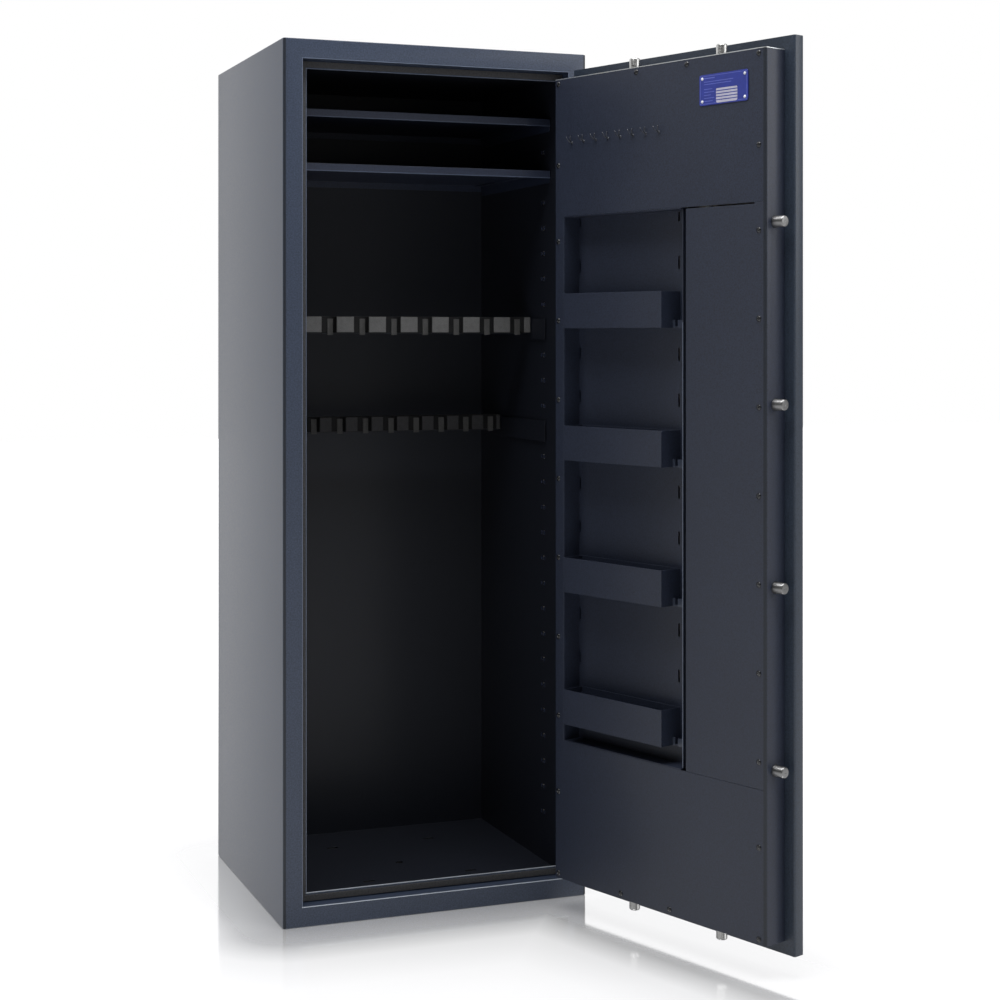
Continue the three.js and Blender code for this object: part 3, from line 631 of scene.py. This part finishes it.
# Holes in the upright front sheets: how far each side, and the sheet, lies inside the shell's box
DOORWAY = {"left": 34, "right": 34, "low": 34, "high": 33, "back": 0}
STOP_LIP = {"left": 48, "right": 34, "low": 50, "high": 47, "back": 25}
EDGE_WIDE = 1.2 * MM
EDGE_PROUD = 0.2 * MM
EDGE_DEEP = 1.0 * MM

# Painted highlights on the straps at a tray's far end: how high they are, where their face lies and which
# spans of it show
STRAP = {"tall": 13, "face": 18.2, "proud": 0.25, "sunk": 0.3, "spans": [(25, 29.8), (0, 19)]}
# Painted highlight lines beside the recess, placed from the recess pan's box
WALL_LINE = {"wide": 1.4, "sunk": 5.7, "above_pan_foot": 2.85, "above_tray_foot": 9}
SIDE_LINE = {"wide": 1.2, "aside": 0.3, "below": 0.15, "above": 0.3}
LINE_SUNK = 0.5 * MM

# Painted shade on the upright folds: the round of each fold, and the size of the dark skin laid over it
FOLD_RADIUS = 5 * MM
FOLD_SKIN = {"proud": 0.12, "deep": 0.5, "steps": 8}
FOLD_END = 1 * MM


def edge_ring(name, inset):
    """A painted highlight: a fine pale line round the edge of a hole in an upright sheet, brightest at the
    sill, which faces up to the light.
    """
    left = SHELL_LOW.x + inset["left"] * MM + EDGE_PROUD
    right = SHELL_HIGH.x - inset["right"] * MM - EDGE_PROUD
    low = SHELL_LOW.z + inset["low"] * MM + EDGE_PROUD
    high = SHELL_HIGH.z - inset["high"] * MM - EDGE_PROUD
    face = SHELL_LOW.y + inset["back"] * MM
    sill = [(left - EDGE_WIDE, right + EDGE_WIDE, low - EDGE_WIDE, low)]
    others = [
        (left - EDGE_WIDE, right + EDGE_WIDE, high, high + EDGE_WIDE),
        (left - EDGE_WIDE, left, low, high),
        (right, right + EDGE_WIDE, low, high),
    ]
    for part, spans, look in (("sill", sill, SILL_HIGHLIGHT), ("edge", others, EDGE_HIGHLIGHT)):
        bm = bmesh.new()
        for x0, x1, z0, z1 in spans:
            bar(bm, Vector((x0, face - EDGE_PROUD, z0)), Vector((x1, face + EDGE_DEEP, z1)), IN_PLACE)
        piece(f"{name}_{part}", bm, look, "cabinet", "shell_paint", smooth=False)


def shelf_edges():
    """A painted highlight: a fine pale line along the lower edge of each shelf's front lip."""
    bm = bmesh.new()
    for name in numbered("shelf_"):
        low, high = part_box(name)
        outside = low - Vector((0, EDGE_PROUD, EDGE_PROUD))
        bar(bm, outside, Vector((high.x, low.y + EDGE_WIDE, low.z + EDGE_WIDE)), IN_PLACE)
    piece("shelf_edges", bm, EDGE_HIGHLIGHT_SOFT, "cabinet", "interior_paint", smooth=False)


def tray_strap_highlights():
    """Painted highlight: lighter faces on the straps at the end of each tray."""
    bm = bmesh.new()
    for name in numbered("tray_"):
        foot = leaf_box(name)[0]
        face = foot.y + STRAP["face"] * MM
        for first, last in STRAP["spans"]:
            low = Vector((foot.x + first * MM, face - STRAP["sunk"] * MM, foot.z))
            high = Vector((foot.x + last * MM, face + STRAP["proud"] * MM, foot.z + STRAP["tall"] * MM))
            bar(bm, low, high, LEAF)
    piece("tray_strap_highlights", bm, EDGE_HIGHLIGHT_DIM, "door", "door_paint", smooth=False)


def upright_line(name, across, face, heights, look):
    """A fine upright painted highlight line on the leaf, a little proud of a face."""
    bm = bmesh.new()
    low = Vector((across[0], face - LINE_SUNK, heights[0]))
    high = Vector((across[1], face + EDGE_PROUD, heights[1]))
    bar(bm, low, high, LEAF)
    piece(name, bm, look, "door", "door_paint", smooth=False)


def recess_lines():
    """Painted highlight lines on the edge of the wall that the trays hook on to, and on the edge of the
    recess by the hinges.
    """
    pan_low, pan_high = leaf_box("recess_pan")
    across = (pan_low.x, pan_low.x + WALL_LINE["wide"] * MM)
    foot = pan_low.z + WALL_LINE["above_pan_foot"] * MM
    top = leaf_box("tray_1")[0].z + WALL_LINE["above_tray_foot"] * MM
    upright_line("recess_wall_edge", across, pan_high.y - WALL_LINE["sunk"] * MM, (foot, top), EDGE_HIGHLIGHT)
    beside = pan_high.x + SIDE_LINE["aside"] * MM
    across = (beside, beside + SIDE_LINE["wide"] * MM)
    heights = (pan_low.z - SIDE_LINE["below"] * MM, pan_high.z + SIDE_LINE["above"] * MM)
    upright_line("recess_side_edge", across, CASING_HIGH.y, heights, EDGE_HIGHLIGHT_DIM)


def fold_skin(name, centre, turns, heights, matrix, body, slot):
    """Painted shade over the outside of an upright fold: a dark part-round skin that stands in for the shade
    the bend falls into.
    """
    outer = FOLD_RADIUS + FOLD_SKIN["proud"] * MM
    inner = outer - FOLD_SKIN["deep"] * MM
    first, last = turns
    steps = FOLD_SKIN["steps"]
    angles = [math.radians(first + (last - first) * k / steps) for k in range(steps + 1)]
    path = [(math.cos(angle), math.sin(angle)) for angle in angles]
    outline = [(centre[0] + outer * x, centre[1] + outer * y) for x, y in path]
    outline += [(centre[0] + inner * x, centre[1] + inner * y) for x, y in reversed(path)]
    bm = bmesh.new()
    slab(bm, outline, *heights, matrix)
    made = piece(name, bm, FOLD_SHADE, body, slot)
    made.data.set_sharp_from_angle(angle=SHARP)


def fold_skins():
    """Painted shade skins over the shell's two front folds, and over the casing's fold at its free edge."""
    heights = (SHELL_LOW.z + FOLD_END, SHELL_HIGH.z - FOLD_END)
    front = SHELL_LOW.y + FOLD_RADIUS
    left = (SHELL_LOW.x + FOLD_RADIUS, front)
    right = (SHELL_HIGH.x - FOLD_RADIUS, front)
    fold_skin("fold_skin_left", left, (212, 268), heights, IN_PLACE, "cabinet", "shell_paint")
    fold_skin("fold_skin_right", right, (272, 328), heights, IN_PLACE, "cabinet", "shell_paint")
    free = (CASING_LOW.x + FOLD_RADIUS, CASING_HIGH.y - FOLD_RADIUS)
    heights = (CASING_LOW.z + FOLD_END, CASING_HIGH.z - TOP_EDGE["tall"] * MM)
    fold_skin("fold_skin_casing", free, (88, 155), heights, LEAF, "door", "door_paint")


edge_ring("doorway", DOORWAY)
edge_ring("stop_lip", STOP_LIP)
shelf_edges()
tray_strap_highlights()
recess_lines()
fold_skins()

# ---------------------------------------------------------------- key hooks

HOOK_ROW = {"first": -42, "pitch": -28.9, "count": 8, "z": 1331}
HOOK = {"wire": 0.9, "reach": 8, "spread": 5.5, "rise": 10, "steps": 9}
HOOK_COLLAR = [(0, 1.1), (1.82, 1.1), (2.6, 0.5), (2.6, 0.02)]


def key_hooks():
    """Hooks of two thin prongs that leave one small collar, turn up and spread like a V."""
    bm = bmesh.new()
    for k in range(HOOK_ROW["count"]):
        x = (HOOK_ROW["first"] + k * HOOK_ROW["pitch"]) * MM
        place = on_casing(x, HOOK_ROW["z"] * MM)
        for side in (-1, 1):
            path = [Vector((0, 0, -1))]
            for step in range(HOOK["steps"]):
                share = step / (HOOK["steps"] - 1)
                across = side * HOOK["spread"] * share ** 1.5
                out = HOOK["reach"] * math.sin(share * math.pi / 2)
                path.append(Vector((across, HOOK["rise"] * share ** 2, out + 0.1)))
            wire(bm, [place @ (point * MM) for point in path], HOOK["wire"] * MM)
        lathe(bm, in_metres(HOOK_COLLAR), 16, place)
    piece("key_hooks", bm, HOOK_DARK, "door", "door_paint")


key_hooks()

# ---------------------------------------------------------------- label plate

LABEL_LOW, LABEL_HIGH = leaf_box("label_plate")
LABEL_WIDE = LABEL_HIGH.x - LABEL_LOW.x
LABEL_TALL = LABEL_HIGH.z - LABEL_LOW.z
LABEL_PROUD = LABEL_HIGH.y - CASING_HIGH.y


def on_label(across, up):
    """A place on the label, as shares of its width from the hinge end and of its height."""
    return LABEL_HIGH.x - across * LABEL_WIDE, LABEL_LOW.z + up * LABEL_TALL


def label_strips(name, strips, material, thick):
    """Thin raised strips on the label: each is (from, to) across and (from, to) up, as shares."""
    bm = bmesh.new()
    for across, up in strips:
        x0, z0 = on_label(across[1], up[0])
        x1, z1 = on_label(across[0], up[1])
        half_wide, half_tall = (x1 - x0) / 2, (z1 - z0) / 2
        outline = rectangle(-half_wide, half_wide, -half_tall, half_tall, 0.3 * min(half_wide, half_tall))
        middle = on_casing((x0 + x1) / 2, (z0 + z1) / 2, LABEL_PROUD)
        slab(bm, outline, 0, thick, middle)
    piece(name, bm, material, "door", "label_blue", smooth=False)


# Places on the label are shares: (from, to) across it and (from, to) up it
LABEL_FIELD = ((0.35, 0.785), (0.045, 0.53))
FIELD_ROWS = 5
RULE = {"start": 0.82, "tall": 0.03}
TITLE_LINES = [((0.1, 0.32), (0.86, 0.89)), ((0.1, 0.7), (0.75, 0.77)), ((0.1, 0.66), (0.67, 0.69))]
# Where the short line beside each row of the field ends
LINE_ENDS = [0.28, 0.31, 0.24, 0.31, 0.27]
LINE = {"start": 0.1, "tall": 0.02}
BORDER = {"inset": (0.022, 0.045), "wide": (0.007, 0.014)}
STRIP_THICK = {"field": 0.12 * MM, "rules": 0.2 * MM, "lines": 0.1 * MM}
RIVET_DOME = [(2.5, 0), (2.5, 0.35), (2.2, 0.9), (1.4, 1.35), (0, 1.55)]
RIVET_PLACES = [(across, up) for across in (0.065, 0.935) for up in (0.13, 0.87)]


def label_border():
    """The four strips of a thin frame round the label."""
    (x0, z0), (wide, tall) = BORDER["inset"], BORDER["wide"]
    x1, z1 = 1 - x0, 1 - z0
    flat = [((x0, x1), (z0, z0 + tall)), ((x0, x1), (z1 - tall, z1))]
    return flat + [((x0, x0 + wide), (z0, z1)), ((x1 - wide, x1), (z0, z1))]


def label_details():
    """A blank pale field with plain rules, plain lines, a border and four rivets; no lettering."""
    label_strips("label_field", [LABEL_FIELD], LABEL_PALE, STRIP_THICK["field"])
    across, (foot, top) = LABEL_FIELD
    gap = (top - foot) / FIELD_ROWS
    starts = [foot + (row + RULE["start"]) * gap for row in range(FIELD_ROWS)]
    rules = [(across, (start, start + RULE["tall"])) for start in starts]
    label_strips("label_rules", rules, LOOKS["label_blue"], STRIP_THICK["rules"])
    short = [((LINE["start"], end), (start, start + LINE["tall"])) for end, start in zip(LINE_ENDS, starts)]
    label_strips("label_lines", TITLE_LINES + short, LABEL_LINE, STRIP_THICK["lines"])
    label_strips("label_border", label_border(), LABEL_LINE, STRIP_THICK["lines"])
    bm = bmesh.new()
    for place in RIVET_PLACES:
        lathe(bm, in_metres(RIVET_DOME), 20, on_casing(*on_label(*place), LABEL_PROUD))
    piece("label_rivets", bm, LABEL_RIVET, "door", "bright_steel")


label_details()

# ---------------------------------------------------------------- bolts

BOLT_SIDES = 48
BOLT_END = [(0, -0.9), (1.6, -0.5), (2.2, 0.0), (7.0, 0.0), (7.6, -0.1), (8.7, -1.2), (9.0, -1.9)]
BOLT_FOOT = [(9.0, 1.0), (8.2, 0), (0, 0)]
# The way each kind of bolt points on the leaf, and its steel; the side bolts take a darker copy of the
# steel, painted shade
BOLT_KINDS = {
    "bottom_bolt_": (Vector((0, 0, -1)), LOOKS["bright_steel"]),
    "side_bolt_": (Vector((-1, 0, 0)), SIDE_STEEL_SHADE),
    "top_bolt_": (Vector((0, 0, 1)), LOOKS["bright_steel"]),
}


def round_bolt(node, direction, material):
    """A turned bolt in a CAD bolt's place, with a chamfered tip that keeps its centre mark."""
    low, high = leaf_box(node)
    middle = (low + high) / 2
    length = max(high - low)
    tip = middle + direction * length / 2
    place = LEAF @ Matrix.Translation(tip) @ direction.to_track_quat("Z", "Y").to_matrix().to_4x4()
    foot = [(radius, height - length) for radius, height in in_metres(BOLT_FOOT)]
    bm = bmesh.new()
    lathe(bm, in_metres(BOLT_END) + foot, BOLT_SIDES, place)
    made = piece(f"{node}_turned", bm, material, NODES[node]["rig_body"], "bright_steel")
    made.data.set_sharp_from_angle(angle=math.radians(25))
    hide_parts(node)


for bolt_kind, (way, steel) in BOLT_KINDS.items():
    for node_name in numbered(bolt_kind):
        round_bolt(node_name, way, steel)

# ---------------------------------------------------------------- rack foam

# Width of a channel in each rack, and the foam's look; the back row lies in the dark, and its foam is a
# darker copy: painted shade
CHANNEL = {"upper": 27.75, "lower": 27.0}
FOAM_LOOK = {"upper": LOOKS["rack_foam"], "lower": FOAM_BACK_ROW_SHADE}
FOAM_CORNER = 2.5 * MM
FOAM_SPINE = 18 * MM
FOAM_ROUND = {"width": 1.2 * MM, "segments": 3, "angle": math.radians(60)}
BUFFER = {"wide": 11, "thick": 2.5, "drop": 4, "edge": 1.2, "gap": 0.1, "corner": 0.9}


def rack_outline(low, high, centres, half, floor):
    """The foam seen from above: pads with round corners, and a channel of this half width at each centre."""
    bend = half * 0.5
    outline = [(low.x, high.y, 0), (high.x, high.y, 0), (high.x, low.y, FOAM_CORNER)]
    for centre in reversed(centres):
        right, left = centre + half, centre - half
        outline += [(right, low.y, FOAM_CORNER), (right, floor, bend)]
        if left < low.x + 2 * FOAM_CORNER:
            outline.append((low.x, floor, 0))
            return rounded(outline, steps=8)
        outline += [(left, floor, bend), (left, low.y, FOAM_CORNER)]
    return rounded([*outline, (low.x, low.y, FOAM_CORNER)], steps=8)


def rack_foam(rack):
    """The foam of a rack: blunt pads between channels, one for each barrel, with painted shade inside the
    channels.
    """
    node = f"{rack}_rack_foam"
    low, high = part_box(node)
    holes = [box for name, box in OPENINGS.items() if name.startswith(f"{rack}_channel_")]
    centres = sorted((box[0][0] + box[1][0]) / 2 for box in holes)
    half = CHANNEL[rack] * MM / 2
    floor = high.y - FOAM_SPINE
    bm = bmesh.new()
    slab(bm, rack_outline(low, high, centres, half, floor), low.z, high.z, IN_PLACE)
    # Painted shade: the channel walls take the near-black copy of the foam as their second material
    shade_from = low.y + 0.6 * FOAM_CORNER
    for face in bm.faces:
        if abs(face.normal.z) < 0.5 and shade_from < face.calc_center_median().y < high.y - MM:
            face.material_index = 1
    made = piece(f"{rack}_rack_pads", bm, FOAM_LOOK[rack], "cabinet", "rack_foam")
    made.data.materials.append(FOAM_SHADE)
    bevel = made.modifiers.new("round", "BEVEL")
    bevel.width = FOAM_ROUND["width"]
    bevel.segments = FOAM_ROUND["segments"]
    bevel.limit_method = "ANGLE"
    bevel.angle_limit = FOAM_ROUND["angle"]
    bevel.harden_normals = True
    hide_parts(node)
    drop = BUFFER["drop"] * MM
    rack_buffers(rack, [centre + half for centre in centres], floor, low.z - drop, high.z - drop)


def rack_buffers(rack, walls, floor, low, high):
    """A rubber strip on the back of each channel, next to its right-hand wall."""
    bm = bmesh.new()
    back = floor - BUFFER["gap"] * MM
    front = floor - BUFFER["thick"] * MM
    for wall in walls:
        right = wall - BUFFER["edge"] * MM
        left = right - BUFFER["wide"] * MM
        slab(bm, rectangle(left, right, front, back, BUFFER["corner"] * MM), low, high, IN_PLACE)
    piece(f"{rack}_rack_buffers", bm, BUFFER_RUBBER, "cabinet", "rack_foam", smooth=False)


for rack_name in CHANNEL:
    rack_foam(rack_name)

# ---------------------------------------------------------------- ears of the wall slots

SLOT = {"y": -126, "width": 10, "height": 8, "low": 126, "pitch": 46.5, "count": 28}
EAR = {"thick": 1.1, "proud": 2.6, "tall": 6.4, "wall": 1.5}


def wall_ears(side, sign):
    """Two bent ears at each free wall slot; slots behind a rack arm or a shelf rail have none."""
    covered = [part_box(name) for name in NODES if "_rail_" in name or name.endswith("_carrier")]
    half_tall, half_thick = EAR["tall"] * MM / 2, EAR["thick"] * MM / 2
    proud = EAR["proud"] * MM
    bend = proud / 2
    corners = [(0, -half_tall, 0), (proud, -half_tall, bend), (proud, half_tall, bend), (0, half_tall, 0)]
    outline = rounded(corners, steps=4)
    turn = Matrix(((-sign, 0, 0, 0), (0, 0, 1, 0), (0, 1, 0, 0), (0, 0, 0, 1)))
    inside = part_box("inner_liner")[1].x - EAR["wall"] * MM
    reach = SLOT["height"] * MM
    bm = bmesh.new()
    for k in range(SLOT["count"]):
        z = (SLOT["low"] + k * SLOT["pitch"]) * MM
        if any(low.z - reach < z < high.z + reach for low, high in covered):
            continue
        for edge in (-1, 1):
            y = (SLOT["y"] + edge * (SLOT["width"] + EAR["thick"]) / 2) * MM
            place = Matrix.Translation((sign * inside, y, z)) @ turn
            slab(bm, outline, -half_thick, half_thick, place)
    piece(f"wall_ears_{side}", bm, LOOKS["interior_paint"], "cabinet", "interior_paint", smooth=False)


wall_ears("left", -1)
wall_ears("right", 1)

# ---------------------------------------------------------------- lever

# Profile of the hub: (radius, height) from the rose outwards, in millimetres
HUB = [
    (0, 0), (15.2, 0), (16, 0.8), (16, 20), (15.4, 27), (14.6, 33), (14.2, 38), (13.4, 42.2),
    (11.0, 44.8), (7.0, 45.8), (0, 46),
]
# Sections of the grip: how far below the axis, half the width and half the depth
GRIP = [
    (-6, 11, 5.2), (4, 13, 6), (16, 12.2, 5.8), (32, 11.0, 5.5), (52, 10.3, 5.3), (74, 9.8, 5.2),
    (96, 9.4, 5.2), (112, 9.0, 5.1), (121, 7.4, 4.4), (126, 4.8, 3.0), (128, 1.5, 1.0),
]
GRIP_SIDES = 28
GRIP_SQUARENESS = 0.55
GRIP_MIDDLE = 12.5 * MM


def lever():
    """Cast lever: a round hub that flows into a flat, tapered grip with a round end."""
    low, high = leaf_box("handle_lever")
    centre_x = (low.x + high.x) / 2
    axis_z = JOINTS["handle_turn"]["pos_m"][2]
    place = LEAF @ Matrix.Translation((centre_x, high.y, axis_z)) @ Matrix.Rotation(math.radians(90), 4, "X")
    bm = bmesh.new()
    lathe(bm, in_metres(HUB), 48, place)
    rings = []
    for drop, width, depth in GRIP:
        ring = []
        for k in range(GRIP_SIDES):
            angle = 2 * math.pi * k / GRIP_SIDES
            cos, sin = math.cos(angle), math.sin(angle)
            x = math.copysign(abs(cos) ** GRIP_SQUARENESS, cos) * width * MM
            y = math.copysign(abs(sin) ** GRIP_SQUARENESS, sin) * depth * MM
            ring.append(LEAF @ Vector((centre_x + x, low.y + GRIP_MIDDLE + y, axis_z - drop * MM)))
        rings.append(ring)
    loft(bm, rings)
    made = piece("door_lever", bm, LOOKS["bright_steel"], "handle", "bright_steel")
    made.data.set_sharp_from_angle(angle=math.radians(40))
    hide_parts("handle_lever")


lever()

# ---------------------------------------------------------------- stage, lights, camera


def reach_from(surface, place, middle, half):
    """Distance on the floor from a rectangle with this middle and half size."""
    offset = surface.vector("SUBTRACT", place, (*middle, 0))
    past = surface.vector("SUBTRACT", surface.vector("ABSOLUTE", offset), (*half, 100))
    return surface.vector("LENGTH", surface.vector("MAXIMUM", past, (0, 0, 0)))


# The floor: how far it reaches, the round of its corners and the heights of its two faces
FLOOR = {"reach": 14.0, "corner": 1.0, "low": -20 * MM, "high": -0.5 * MM}
# How far from the safe the floor is polished, and how much of a mirror it is on the way out
MIRROR_REACH = 0.5
MIRROR_FADE = [(0, 0.79), (0.15, 0.68), (0.21, 0.52), (0.32, 0.25), (0.56, 0.09), (1, 0)]
# Glow of the matte floor, the share of it that lights the safe, and what is added from far_from to far_to
FLOOR_GLOW = {"level": 0.68, "bounce": 0.75, "far": 0.6, "far_from": 0.4, "far_to": 2.0}
MATTE_WHITE = (0.4, 0.4, 0.41, 1)
MIRROR_WHITE = (0.95, 0.95, 0.96, 1)


def middle_and_half(box):
    """Middle and half size of a box, seen from above."""
    low, high = box
    return ((low + high) / 2).xy, ((high - low) / 2).xy


def reach_from_safe(surface):
    """Distance on the floor from the cabinet or from the open leaf, whichever is nearer."""
    cabinet = reach_from(surface, surface.place, *middle_and_half((SHELL_LOW, SHELL_HIGH)))
    along_leaf = surface.node("ShaderNodeMapping", vector_type="TEXTURE")
    along_leaf.inputs["Location"].default_value = LEAF.translation
    along_leaf.inputs["Rotation"].default_value = LEAF.to_euler()
    surface.join(surface.place, along_leaf.inputs["Vector"])
    leaf = reach_from(surface, along_leaf.outputs["Vector"], *middle_and_half(leaf_box("door_plate")))
    return surface.maths("MINIMUM", cabinet, leaf)


def floor_white():
    """White floor: polished like a mirror close to the safe, matte and softly glowing further out."""
    surface = Surface("floor_white", Specular_IOR_Level=0.3)
    reach = reach_from_safe(surface)
    share = surface.spread(reach, 0, 1, start=0, end=MIRROR_REACH)
    mirror = surface.ramp(share, *[(stop, (level, level, level, 1)) for stop, level in MIRROR_FADE])
    surface.join(mirror, surface.shader.inputs["Metallic"])
    glow = surface.spread(mirror, FLOOR_GLOW["level"], 0, start=0, end=1)
    seen = surface.node("ShaderNodeLightPath").outputs["Is Camera Ray"]
    near = surface.maths("MULTIPLY", glow, surface.spread(seen, FLOOR_GLOW["bounce"], 1, start=0, end=1))
    start, end = FLOOR_GLOW["far_from"], FLOOR_GLOW["far_to"]
    far = surface.spread(reach, 0, FLOOR_GLOW["far"], start=start, end=end)
    surface.join(surface.maths("MULTIPLY_ADD", far, seen, near), surface.shader.inputs["Emission Strength"])
    surface.shader.inputs["Emission Color"].default_value = WHITE
    patches = surface.noise(0.9, detail=2)
    base = surface.mixed(mirror, MATTE_WHITE, MIRROR_WHITE)
    return surface.wear(base, surface.spread(patches, 0.07, 0.1))


def floor():
    """A wide, thin slab just below the safe's foot."""
    bm = bmesh.new()
    edge = FLOOR["reach"]
    slab(bm, rectangle(-edge, edge, -edge, edge, FLOOR["corner"]), FLOOR["low"], FLOOR["high"], IN_PLACE)
    mesh = bpy.data.meshes.new("floor")
    bm.to_mesh(mesh)
    bm.free()
    mesh.materials.append(floor_white())
    put("floor", mesh)


# Each light: where it is, what it faces, its two sides in metres and its power in watts
LIGHTS = {
    "top": ((-0.3, -1.2, 3.7), (0, -0.4, 0), (3.4, 1.4), 125),
    "right": ((2.6, -2.4, 2.2), (0.2, -0.3, 0.9), (2.2, 2.2), 38),
}


def area_light(name, place, target, size, power):
    """A soft rectangular light that faces its target."""
    light = bpy.data.lights.new(name, "AREA")
    light.shape = "RECTANGLE"
    light.size, light.size_y = size
    light.energy = power
    made = put(name, light)
    made.location = place
    made.rotation_mode = "QUATERNION"
    made.rotation_quaternion = (Vector(target) - Vector(place)).to_track_quat("-Z", "Y")


# The studio's brightness, from the side that the safe faces round to the side behind it
STUDIO = {"from": 0.0, "to": 0.7, "dim": 0.05, "bright": 1.0}


def studio_world():
    """A studio that looks white itself, and lights the safe from behind and beside it."""
    world = bpy.data.worlds.new("studio")
    world.use_nodes = True
    tree = world.node_tree
    place = tree.nodes.new("ShaderNodeTexCoord")
    split = tree.nodes.new("ShaderNodeSeparateXYZ")
    tree.links.new(place.outputs["Generated"], split.inputs["Vector"])
    depth = tree.nodes.new("ShaderNodeMapRange")
    depth.interpolation_type = "SMOOTHSTEP"
    depth.inputs["From Min"].default_value = STUDIO["from"]
    depth.inputs["From Max"].default_value = STUDIO["to"]
    depth.inputs["To Min"].default_value = STUDIO["dim"]
    depth.inputs["To Max"].default_value = STUDIO["bright"]
    tree.links.new(split.outputs["Y"], depth.inputs["Value"])
    seen = tree.nodes.new("ShaderNodeLightPath")
    strength = tree.nodes.new("ShaderNodeMath")
    strength.operation = "MAXIMUM"
    tree.links.new(depth.outputs["Result"], strength.inputs[0])
    tree.links.new(seen.outputs["Is Camera Ray"], strength.inputs[1])
    background = tree.nodes["Background"]
    tree.links.new(strength.outputs["Value"], background.inputs["Strength"])
    background.inputs["Color"].default_value = WHITE
    bpy.context.scene.world = world


# A level camera whose lens is shifted, so that upright edges stay parallel
CAMERA = {"place": (-1.0952, -3.1336, 0.996), "turn": -19.634}
LENS = {"lens": 64.41, "sensor_width": 36, "shift_x": 0.09358, "shift_y": -0.16296}


def camera():
    """The view of the safe from the front and a little to the left."""
    data = bpy.data.cameras.new("camera")
    for setting, value in LENS.items():
        setattr(data, setting, value)
    made = put("camera", data)
    made.location = CAMERA["place"]
    made.rotation_euler = (math.radians(90), 0, math.radians(CAMERA["turn"]))
    bpy.context.scene.camera = made


floor()
studio_world()
for light_name, settings in LIGHTS.items():
    area_light(light_name, *settings)
camera()
bpy.context.scene.view_settings.view_transform = "Standard"
